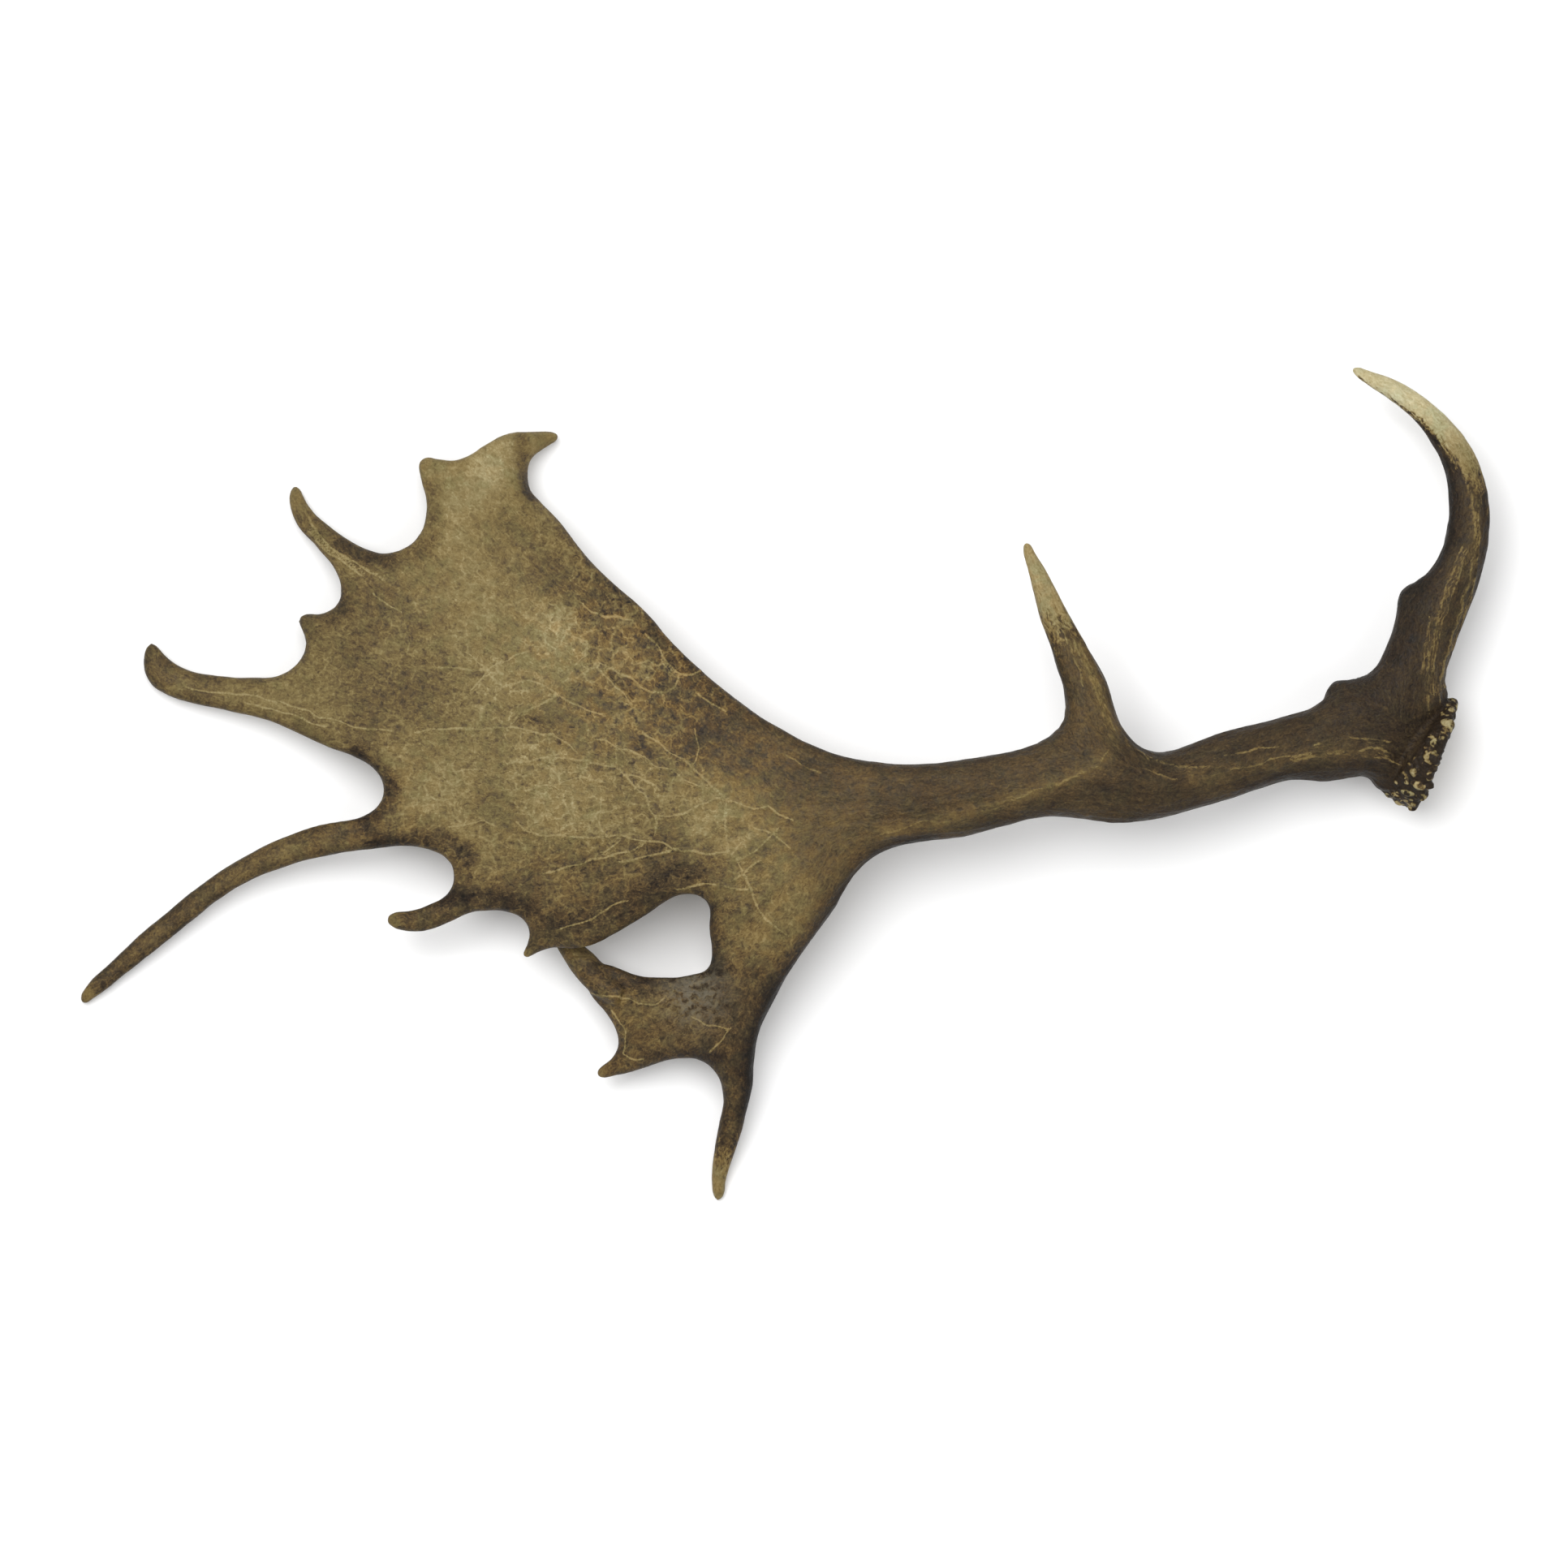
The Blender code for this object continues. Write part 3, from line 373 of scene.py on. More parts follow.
# Pearls of the coronet that the photograph shows: turn round the ring, height, half width, half height
SEEN_PEARLS = [
    (90, 0.4, 2.8, 2.6), (108, 0.2, 2.0, 2.2), (124, -0.6, 2.2, 2.6), (143, 0.4, 3.0, 3.4), (160, 0.8, 2.4, 3.0),
    (170, -1.6, 1.7, 2.0), (184, 0.6, 3.3, 4.2), (206, -3.6, 2.1, 2.1), (203, 3.4, 2.2, 2.4), (217, 1.6, 2.4, 3.0),
    (214, 6.0, 1.8, 2.0), (233, -1.2, 2.6, 3.2), (230, 5.4, 2.4, 2.6), (250, -3.6, 2.4, 3.0),
    (248, 3.0, 2.4, 3.4), (266, -6.4, 2.2, 2.4), (266, -0.6, 2.4, 2.6), (264, 5.0, 2.3, 2.6),
]

TABLE = 64


def add_object(name, data):
    made = bpy.data.objects.new(name, data)
    bpy.context.scene.collection.objects.link(made)
    return made


def add_modifier(target, kind, **settings):
    modifier = target.modifiers.new(kind.lower(), kind)
    for setting, value in settings.items():
        setattr(modifier, setting, value)
    return modifier


def settle(source, merge=0.0):
    """The object's evaluated shape in world space, as a new mesh object in its place."""
    bpy.context.view_layer.update()
    graph = bpy.context.evaluated_depsgraph_get()
    mesh = bpy.data.meshes.new_from_object(source.evaluated_get(graph))
    mesh.transform(source.matrix_world)
    name = source.name
    bpy.data.objects.remove(source)
    if merge:
        work = bmesh.new()
        work.from_mesh(mesh)
        bmesh.ops.remove_doubles(work, verts=work.verts, dist=merge)
        work.to_mesh(mesh)
        work.free()
    return add_object(name, mesh)


def remesh(target, voxel):
    add_modifier(target, "REMESH", mode="VOXEL", voxel_size=voxel)
    return settle(target)


def read_array(items, field, width, kind=float):
    values = np.empty(len(items) * width, kind)
    items.foreach_get(field, values)
    return values.reshape(-1, width) if width > 1 else values


def read_points(mesh):
    return read_array(mesh.vertices, "co", 3)


def write_points(mesh, points):
    mesh.vertices.foreach_set("co", points.ravel())
    mesh.update()


def ramp(value, low, high):
    share = np.clip((value - low) / (high - low), 0, 1)
    return share * share * (3 - 2 * share)


def make_spline(curve, points):
    spline = curve.splines.new("BEZIER")
    spline.bezier_points.add(len(points) - 1)
    return spline, spline.bezier_points


def flat_outline():
    """The antler seen from above, as a thin slab with an even net on both faces."""
    curve = bpy.data.curves.new("outline", "CURVE")
    curve.dimensions = "2D"
    curve.fill_mode = "BOTH"
    curve.extrude = SLAB_HALF
    curve.resolution_u = 8
    spline, places = make_spline(curve, OUTLINE)
    for place, (x, y) in zip(places, OUTLINE):
        place.co = (x * MM, y * MM, 0)
        place.handle_left_type = "AUTO"
        place.handle_right_type = "AUTO"
    spline.use_cyclic_u = True
    slab = settle(add_object("outline", curve), merge=1e-6)
    return remesh(slab, SLAB_VOXEL)


def plate_kernel(offsets):
    squares = (offsets**2).sum(axis=-1)
    return squares * np.log(squares + 1e-12)


def thin_plate(posts):
    """A function for the sheet through the posts that bends least."""
    sites = np.array(posts)[:, :2] * MM
    heights = np.array(posts)[:, 2] * MM
    count = len(sites)
    plane = np.column_stack([np.ones(count), sites])
    system = np.zeros((count + 3, count + 3))
    system[:count, :count] = plate_kernel(sites[:, None] - sites[None])
    system[:count, count:] = plane
    system[count:, :count] = plane.T
    weights = np.linalg.solve(system, np.append(heights, [0, 0, 0]))

    def sheet(x, y):
        total = weights[count] + weights[count + 1] * x + weights[count + 2] * y
        for site, weight in zip(sites, weights):
            squares = (x - site[0]) ** 2 + (y - site[1]) ** 2
            total = total + weight * squares * np.log(squares + 1e-12)
        return total

    return sheet


def near_posts(x, y, posts, reach):
    """A smooth mean of the posts' last values near each point."""
    total = np.zeros(len(x))
    pulls = np.zeros(len(x))
    for post_x, post_y, value in posts:
        squares = (x - post_x * MM) ** 2 + (y - post_y * MM) ** 2
        pull = 1 / (squares + (reach * MM) ** 2) ** 2
        total += pull * value
        pulls += pull
    return total / pulls


def half_thickness(x, y):
    logs = [(post_x, post_y, math.log(half * MM)) for post_x, post_y, half in HALF_THICKNESSES]
    return np.exp(near_posts(x, y, logs, 8))


def lobe_drop(x, y):
    """The lobe turns down towards its free corner. Its side of the window lies below this line."""
    line = -0.066 + 0.15 * (x + 0.025)
    in_lobe = (y < line) & (x > -0.095)
    share = np.clip((LOBE_DROP_START - x) / (LOBE_DROP_START - LOBE_DROP_END), 0, 1)
    return np.where(in_lobe, LOBE_DROP * share**2 * (3 - 2 * share), 0)


def swell(slab, sheet):
    """Swells the slab like a film that is held at its rim, and lifts it onto the sheet of heights."""
    mesh = slab.data
    points = read_points(mesh)
    x, y, z = points.T
    limit = half_thickness(x, y)
    ends = read_array(mesh.edges, "vertices", 2, np.int64)
    first, second = ends.T
    count = len(points)
    neighbours = np.bincount(first, minlength=count) + np.bincount(second, minlength=count)
    rim = np.abs(z) < 0.8 * SLAB_HALF
    press = SLAB_VOXEL**2 / 2
    film = np.zeros(count)
    before = film
    pace = 1.9
    for _ in range(320):
        total = np.bincount(first, film[second], count) + np.bincount(second, film[first], count)
        fresh = (total / neighbours + press) / (1 + press / limit**2)
        fresh = pace * (fresh - before) + before
        fresh[rim] = 0
        before = film
        film = fresh
    film = np.maximum(film, 0)
    depth = np.where(rim, 0.2 * z, np.sign(z) * np.sqrt(film))
    points[:, 2] = sheet(x, y) - lobe_drop(x, y) + depth
    write_points(mesh, points)
    return slab


def spike():
    """The lobe's spike, a tapering rod whose tip is hidden under the palm."""
    curve = bpy.data.curves.new("spike", "CURVE")
    curve.dimensions = "3D"
    curve.bevel_depth = MM
    curve.bevel_resolution = 6
    curve.resolution_u = 10
    curve.use_fill_caps = True
    _, places = make_spline(curve, SPIKE)
    for place, (x, y, height, radius) in zip(places, SPIKE):
        place.co = (x * MM, y * MM, height * MM)
        place.radius = radius
        place.handle_left_type = "AUTO"
        place.handle_right_type = "AUTO"
    return settle(add_object("spike", curve), merge=1e-6)


def coronet_frame():
    """Places a shape made round +Z, with +Z out of the base, at the coronet."""
    heading = Matrix.Rotation(math.radians(CORONET_HEADING), 4, "Z")
    lean = Matrix.Rotation(math.radians(90 + CORONET_LEAN), 4, "Y")
    return Matrix.Translation(CORONET_CENTRE) @ heading @ lean


def coronet_swell(x, y):
    """How much thicker than its mean the coronet is. It is thickest on the side away from the brow tine."""
    reach = np.hypot(x, y)
    share = np.clip((reach - SEAL_RADIUS) / (CORONET_RADIUS - SEAL_RADIUS), 0, 1)
    return 1 - CORONET_FLARE * share * y / np.maximum(reach, MM)


def turned(name, profile):
    """A profile of (radius, height) points in millimetres, from the top down, turned round Z."""
    mesh = bpy.data.meshes.new(name)
    points = [(radius * MM, 0, height * MM) for radius, height in profile]
    mesh.from_pydata(points, [(i, i + 1) for i in range(len(points) - 1)], [])
    body = add_object(name, mesh)
    add_modifier(
        body, "SCREW", axis="Z", angle=math.tau, steps=96, render_steps=96, use_merge_vertices=True,
        merge_threshold=1e-5,
    )
    return body


def ball(place, size):
    work = bmesh.new()
    bmesh.ops.create_uvsphere(work, u_segments=20, v_segments=14, radius=1)
    mesh = bpy.data.meshes.new("pearl")
    work.to_mesh(mesh)
    work.free()
    pearl = add_object("pearl", mesh)
    pearl.matrix_world = coronet_frame() @ place @ Matrix.Diagonal((*size, 1))
    return settle(pearl)


def rim_radius(height):
    """The ring's radius at a height in its own, unswollen section, in millimetres."""
    return 25.2 - 0.06 * height**2


def pearl_places():
    """Each pearl's turn round the ring, height, half width and half height: the seen ones, then the hidden side."""
    places = list(SEEN_PEARLS)
    random = np.random.RandomState(7)
    turn = 281.0
    while turn < 440:
        wide = random.uniform(1.8, 3.0)
        angle = math.radians(turn)
        thick = 1 - CORONET_FLARE * math.sin(angle)
        rows = max(1, round(1.9 * thick))
        for row in range(rows):
            height = thick * (9.4 * (row + 0.5) / rows - 5.2) + random.uniform(-0.5, 0.5)
            tall = random.uniform(0.8, 1.1) * thick * 4.9 / rows
            places.append((turn + random.uniform(-2, 2), height, wide, max(1.6, tall)))
        turn += math.degrees(1.75 * wide / 24.8)
    return places


def coronet():
    """The ring at the base with its swollen seal, and the pearls that stand round it."""
    profile = [
        (0, 4.4), (6, 4.1), (10, 3.4), (14, 2.6), (18, 3.1), (22, 4.7), (24.4, 3.6), (25.2, 0),
        (24.6, -3.2), (22.8, -5.8), (20, -8), (17, -11.5), (12, -15), (0, -16),
    ]
    ring = settle(turned("coronet", profile), merge=1e-6)
    points = read_points(ring.data)
    points[:, 2] *= coronet_swell(points[:, 0], points[:, 1])
    write_points(ring.data, points)
    ring.data.transform(coronet_frame())
    bodies = [ring]
    for turn, height, wide, tall in pearl_places():
        angle = math.radians(turn)
        section_height = height / (1 - CORONET_FLARE * math.sin(angle))
        radius = rim_radius(section_height) - 0.75 * wide
        size = Vector((1.35 * wide, wide, tall)) * MM
        place = Matrix.Rotation(angle, 4, "Z") @ Matrix.Translation((radius * MM, 0, height * MM))
        bodies.append(ball(place, size))
    return bodies


def join(bodies, name):
    """One mesh that holds all the bodies, each still separate."""
    work = bmesh.new()
    for body in bodies:
        work.from_mesh(body.data)
    mesh = bpy.data.meshes.new(name)
    work.to_mesh(mesh)
    work.free()
    for body in bodies:
        bpy.data.objects.remove(body)
    return add_object(name, mesh)


def smooth(points, mesh, hold):
    """Evens out the skin, least where hold is 1."""
    first, second = read_array(mesh.edges, "vertices", 2, np.int64).T
    count = len(points)
    neighbours = np.bincount(first, minlength=count) + np.bincount(second, minlength=count)
    pace = (0.55 * (1 - 0.75 * hold))[:, None]
    for _ in range(4):
        total = np.column_stack([
            np.bincount(first, points[second, axis], count) + np.bincount(second, points[first, axis], count)
            for axis in range(3)
        ])
        points = points + pace * (total / neighbours[:, None] - points)
    return points


def refine_coronet(mesh):
    """Halves the faces of the skin round the coronet, whose pearls need a finer net."""
    work = bmesh.new()
    work.from_mesh(mesh)
    centre = Vector(CORONET_CENTRE)
    near = [edge for edge in work.edges if (edge.verts[0].co - centre).length < CORONET_REACH]
    bmesh.ops.subdivide_edges(work, edges=near, cuts=1, use_grid_fill=True)
    work.to_mesh(mesh)
    work.free()


def score_forks(mesh):
    """Lays a straight ring of edges round each fork, and says which edges those are."""
    work = bmesh.new()
    work.from_mesh(mesh)
    marked = work.edges.layers.int.new("fork")
    for ends in FORK_CUTS:
        start, end = (Vector((x * MM, y * MM, 0)) for x, y in ends)
        run = end - start
        along = run.normalized()
        side = Vector((-along.y, along.x, 0))
        near = []
        for face in work.faces:
            gap = face.verts[0].co - start
            if abs(gap.dot(side)) < 0.004 and -0.001 < gap.dot(along) < run.length + 0.001:
                near.append(face)
        geometry = {item: None for face in near for item in (face, *face.verts, *face.edges)}
        cut = bmesh.ops.bisect_plane(
            work, geom=list(geometry), dist=1e-6, plane_co=start, plane_no=side,
        )["geom_cut"]
        for item in cut:
            if isinstance(item, bmesh.types.BMEdge):
                item[marked] = 1
    work.to_mesh(mesh)
    work.free()
    return read_array(mesh.attributes["fork"].data, "value", 1, np.int32) > 0


def noise(points, size, seed):
    """Smooth random values, from -1 to 1, that change over about the given size."""
    table = np.random.RandomState(seed).uniform(-1, 1, TABLE**3).astype(np.float32)
    places = points / size
    low = np.floor(places).astype(np.int64)
    share = places - low
    share = share * share * (3 - 2 * share)
    low %= TABLE
    high = (low + 1) % TABLE
    total = np.zeros(len(points))
    for corner in np.ndindex(2, 2, 2):
        spot = np.zeros(len(points), np.int64)
        weight = np.ones(len(points))
        for axis, upper in enumerate(corner):
            spot = spot * TABLE + (high if upper else low)[:, axis]
            weight = weight * (share[:, axis] if upper else 1 - share[:, axis])
        total += weight * table[spot]
    return total


class Flow:
    """The direction in which the bone's fibres run, kept on a coarse net over the plan."""

    STEP = 0.002
    LOW = (-0.330, -0.205)
    SIZE = (330, 205)

    def __init__(self, sheet):
        across = self.LOW[0] + self.STEP * np.arange(self.SIZE[0])
        down = self.LOW[1] + self.STEP * np.arange(self.SIZE[1])
        grid_x, grid_y = (part.ravel() for part in np.meshgrid(across, down, indexing="ij"))
        pull = np.zeros((len(grid_x), 2))
        for line in FLOW_LINES:
            corners = np.array(line) * MM
            for start, end in zip(corners[:-1], corners[1:]):
                run = end - start
                along = ((grid_x - start[0]) * run[0] + (grid_y - start[1]) * run[1]) / (run @ run)
                along = np.clip(along, 0, 1)
                gaps = (grid_x - start[0] - along * run[0]) ** 2 + (grid_y - start[1] - along * run[1]) ** 2
                length = math.hypot(*run)
                pull += (run / length) * (length / (gaps + 0.004**2) ** 1.5)[:, None]
        pull /= np.linalg.norm(pull, axis=1)[:, None] + 1e-12
        ahead = sheet(grid_x + self.STEP * pull[:, 0], grid_y + self.STEP * pull[:, 1])
        slope = (ahead - sheet(grid_x, grid_y)) / self.STEP
        self.way = np.column_stack([pull, slope])
        self.way /= np.linalg.norm(self.way, axis=1)[:, None]

    def at(self, points):
        column = np.clip(((points[:, 0] - self.LOW[0]) / self.STEP).astype(int), 0, self.SIZE[0] - 1)
        row = np.clip(((points[:, 1] - self.LOW[1]) / self.STEP).astype(int), 0, self.SIZE[1] - 1)
        return self.way[column * self.SIZE[1] + row]

    def fibres(self, points, size, reach, seed):
        """Random values that change over size across the flow and are even over reach along it."""
        steps = max(4, round(reach / (0.55 * size)))
        pace = reach / steps
        total = noise(points, size, seed)
        for sign in (1, -1):
            place = points.copy()
            for _ in range(steps):
                place += sign * pace * self.at(place)
                total += noise(place, size, seed)
        return total / math.sqrt(2 * steps + 1)


def path_gap(x, y, path):
    """The distance in plan from each point to a line through the path's points, positive on its left."""
    nearest = np.full(len(x), np.inf)
    sign = np.ones(len(x))
    corners = np.array(path) * MM
    for start, end in zip(corners[:-1], corners[1:]):
        run = end - start
        offset_x = x - start[0]
        offset_y = y - start[1]
        along = np.clip((offset_x * run[0] + offset_y * run[1]) / (run @ run), 0, 1)
        gap = np.hypot(offset_x - along * run[0], offset_y - along * run[1])
        closer = gap < nearest
        nearest = np.where(closer, gap, nearest)
        sign = np.where(closer, np.sign(run[0] * offset_y - run[1] * offset_x), sign)
    return nearest, sign


def nearest_line(x, y, lines):
    """The distance to the nearest line in widths of that line, up to 9, and the same with the side as its sign."""
    nearest = np.full(len(x), 9.0)
    signs = np.ones(len(x))
    for width, path in lines:
        corners = np.array(path) * MM
        low = corners.min(axis=0) - 9 * width * MM
        high = corners.max(axis=0) + 9 * width * MM
        close = np.flatnonzero((x > low[0]) & (x < high[0]) & (y > low[1]) & (y < high[1]))
        gap, side = path_gap(x[close], y[close], path)
        gap /= width * MM
        won = gap < nearest[close]
        nearest[close[won]] = gap[won]
        signs[close[won]] = side[won]
    return nearest, nearest * signs


# Sums the broad marks' changes of tone, painted light and painted shade among them
def add_tone_and_painted_light_strokes(x, y):
    total = np.zeros(len(x))
    for change, width, path in TONE_AND_PAINTED_LIGHT_STROKES:
        corners = np.array(path) * MM
        low = corners.min(axis=0) - 3 * width * MM
        high = corners.max(axis=0) + 3 * width * MM
        close = np.flatnonzero((x > low[0]) & (x < high[0]) & (y > low[1]) & (y < high[1]))
        gap, _ = path_gap(x[close], y[close], path)
        total[close] += change * np.exp(-((gap / (width * MM)) ** 2))
    return total


def vertex_normals(points, ends_of_faces, starts, totals):
    """Smooth normals, weighted by the faces' areas."""
    faces = np.repeat(np.arange(len(starts)), totals)
    base = points[ends_of_faces[starts]]
    following = ends_of_faces.copy()
    following[:-1] = ends_of_faces[1:]
    last = starts + totals - 1
    following[last] = ends_of_faces[starts]
    cross = np.cross(points[ends_of_faces] - base[faces], points[following] - base[faces])
    areas = np.column_stack([np.bincount(faces, cross[:, axis], len(starts)) for axis in range(3)])
    normals = np.column_stack(
        [np.bincount(ends_of_faces, areas[faces, axis], len(points)) for axis in range(3)]
    )
    return normals / np.maximum(np.linalg.norm(normals, axis=1), 1e-12)[:, None]


def brow_side(x, y):
    """From 0 on the brow tine's dark inner side to 1 on its cream outer side, and 0 elsewhere."""
    gap, side = path_gap(x, y, BROW_PALE_EDGE)
    outer = np.clip(0.5 + gap * side / (6 * MM), 0, 1)
    reach = ramp(y, 0.104, 0.158) * (x > 0.240)
    return outer * reach


def lumps_of_coronet():
    """Small lumps between the pearls: turn round the ring, height, half size, paleness."""
    random = np.random.RandomState(11)
    lumps = []
    for number in range(230):
        turn = random.uniform(0, 360)
        thick = 1 - CORONET_FLARE * math.sin(math.radians(turn))
        lumps.append((turn, thick * random.uniform(-6.0, 4.4), random.uniform(0.9, 1.7), random.uniform(0.1, 0.8)))
    return lumps


def lump_gaps(local, turn, height, wide, tall):
    """The distance in sizes from a lump of the coronet to each point of the rim, along the rim's surface."""
    angle = math.radians(turn)
    across = 24.8 * ((np.arctan2(local[:, 1], local[:, 0]) - angle + math.pi) % math.tau - math.pi)
    return np.hypot(across / wide, (local[:, 2] / MM - height) / tall)


def coronet_values(points):
    """The coronet's rim and seal, the height of its small lumps, and how pale its worn pearls are."""
    local = (points - np.array(CORONET_CENTRE)) @ np.array(coronet_frame().to_3x3())
    radius = np.hypot(local[:, 0], local[:, 1])
    section_height = local[:, 2] / coronet_swell(local[:, 0], local[:, 1]) / MM
    near = (radius < 0.030) & (radius > 0.018)
    rim = near * ramp(section_height, -7.6, -6.4) * ramp(radius, 0.0205, 0.0225)
    seal = ramp(section_height, 0.5, 2.4) * (radius < 0.0232) * (section_height < 9)
    lumps = np.zeros(len(points))
    worn = np.zeros(len(points))
    owned = np.flatnonzero(rim > 0)
    local = local[owned]
    uneven = 0.22 * noise(local, 0.0026, 41) + 0.12 * noise(local, 0.0012, 42)
    broken = ramp(noise(local, 0.0021, 43) + 0.5 * noise(local, 0.0011, 44), -0.45, 0.15)
    random = np.random.RandomState(5)
    for turn, height, wide, tall in pearl_places():
        gap = lump_gaps(local, turn, height, wide, tall) + uneven
        hollow = random.uniform(0, 1) < 0.6
        level = random.uniform(0.65, 1.0)
        crest = ramp(gap, 1.05, 0.80) * (ramp(gap, 0.30, 0.58) if hollow else 1)
        worn[owned] = np.maximum(worn[owned], level * crest * (broken if hollow else 0.5 + 0.5 * broken))
        lumps[owned] = np.maximum(lumps[owned], (-0.45 if hollow else 0.1) * ramp(gap, 0.55, 0.15))
    for turn, height, size, level in lumps_of_coronet():
        gap = lump_gaps(local, turn, height, size, size) + uneven
        dome = np.sqrt(np.clip(1 - gap**2, 0, 1))
        lumps[owned] = np.maximum(lumps[owned], dome)
        worn[owned] = np.maximum(worn[owned], level * ramp(dome, 0.35, 0.9) * broken)
    return rim, seal * (1 - rim), lumps * rim, worn * rim


def raise_detail(mesh, flow, sheet):
    """Moves the skin's points in and out for its detail. Gives the values that the colours are made from."""
    points = read_points(mesh)
    rim, seal, _, _ = coronet_values(points)
    points = smooth(points, mesh, np.maximum(rim, seal))
    corners = read_array(mesh.loops, "vertex_index", 1, np.int64)
    starts = read_array(mesh.polygons, "loop_start", 1, np.int64)
    totals = read_array(mesh.polygons, "loop_total", 1, np.int64)
    normals = vertex_normals(points, corners, starts, totals)
    x, y, _ = points.T
    upper = ramp(normals[:, 2], -0.15, 0.35)
    palm = ramp(-x, -0.030, 0.025)
    palm = np.maximum(palm, 0.75 * ramp(-y, 0.030, 0.050) * (x < 0.012))
    rim, seal, lumpy, worn = coronet_values(points)
    calm = 1 - np.maximum(rim, seal)
    shaft = (1 - palm) * calm

    wander = np.column_stack([noise(points, 0.0055, 31), noise(points, 0.0055, 32), np.zeros(len(points))])
    moved = points + 0.0009 * wander
    vein, vein_side = nearest_line(moved[:, 0], moved[:, 1], VEINS)
    stripe, stripe_side = nearest_line(moved[:, 0], moved[:, 1], STRIPES)
    tone_and_painted_light_strokes = add_tone_and_painted_light_strokes(x, y)
    coarse = flow.fibres(points, 0.0042, 0.030, 21)
    middle = flow.fibres(points, 0.0021, 0.013, 22)
    lumps = noise(points, 0.017, 24) + 0.5 * noise(points, 0.008, 25)

    rise = shaft * (0.00026 * coarse + 0.00016 * middle + 0.00022 * lumps)
    rise += palm * calm * (0.00006 * coarse + 0.00007 * middle + 0.00034 * lumps)
    rise += upper * 0.00034 * np.exp(-((vein / 2) ** 2))
    rise += upper * calm * 0.00034 * np.exp(-((stripe / 1.6) ** 2))
    rise += upper * calm * 0.0022 * tone_and_painted_light_strokes
    rise += seal * 0.00030 * noise(points, 0.0022, 35)
    rise += rim * 0.00012 * noise(points, 0.0014, 36) + 0.00060 * lumpy
    points += normals * rise[:, None]
    points[:, 2] = np.maximum(points[:, 2], 0)
    write_points(mesh, points)

    # The distance to the outline, which the material uses for painted shade along the rim
    edge, _ = path_gap(x, y, OUTLINE + OUTLINE[:1])
    pale = np.zeros(len(points))
    pale_tone = np.full(len(points), 0.5)
    for tip_x, tip_y, fade, end, tip_tone in PALE_TIPS:
        gap = np.hypot(x - tip_x * MM, y - tip_y * MM) / MM
        share = 1 - np.clip((gap - fade) / (end - fade), 0, 1)
        pale_tone = np.where(gap < end + 5, tip_tone - 0.16 * ramp(gap, 0.2 * end, end), pale_tone)
        pale = np.maximum(pale, share)
    brow = (x > 0.240) & (y > 0.060)
    pale = np.where(brow, brow_side(x, y), pale)
    pale_tone = np.where(brow, np.interp(y / MM, *zip(*BROW_PALE_TONES)), pale_tone)
    ways = flow.at(points)
    sheen_x, sheen_y, reach = SHEEN
    sheen = np.exp(-((x / MM - sheen_x) ** 2 + (y / MM - sheen_y) ** 2) / reach**2)
    # The tone takes in the broad marks, with their painted light and painted shade
    values = {
        "tone": near_posts(x, y, TONES, 8) + tone_and_painted_light_strokes,
        "net": near_posts(x, y, NET, 14) * palm,
        "red": near_posts(x, y, RED, 14),
        "turn": np.arctan2(ways[:, 1], ways[:, 0]) % math.tau,
        "pale": pale, "pale_tone": pale_tone, "sheen": sheen,
        "vein": vein, "vein_side": vein_side, "stripe": stripe, "stripe_side": stripe_side,
        "palm": palm, "edge": np.minimum(edge / MM, 20), "upper": upper,
        "rim": rim, "seal": seal, "worn": worn,
    }
    flat = points.copy()
    flat[:, 2] -= sheet(x, y) - lobe_drop(x, y)
    normals = vertex_normals(points, corners, starts, totals)
    return values, flat, normals


def face_groups(mesh, forks):
    """The number of the group that each face belongs to, when the fork edges are taken as cuts."""
    edges = read_array(mesh.loops, "edge_index", 1, np.int64)
    totals = read_array(mesh.polygons, "loop_total", 1, np.int64)
    faces = np.repeat(np.arange(len(mesh.polygons)), totals)
    order = np.argsort(edges, kind="stable")
    paired = edges[order]
    twins = np.flatnonzero(paired[:-1] == paired[1:])
    twins = twins[~forks[paired[twins]]]
    first = faces[order[twins]]
    second = faces[order[twins + 1]]
    groups = np.arange(len(mesh.polygons))
    while True:
        fresh = groups.copy()
        lowest = np.minimum(groups[first], groups[second])
        np.minimum.at(fresh, groups[first], lowest)
        np.minimum.at(fresh, groups[second], lowest)
        np.minimum.at(fresh, first, lowest)
        np.minimum.at(fresh, second, lowest)
        fresh = fresh[fresh]
        if (fresh == groups).all():
            return groups
        groups = fresh


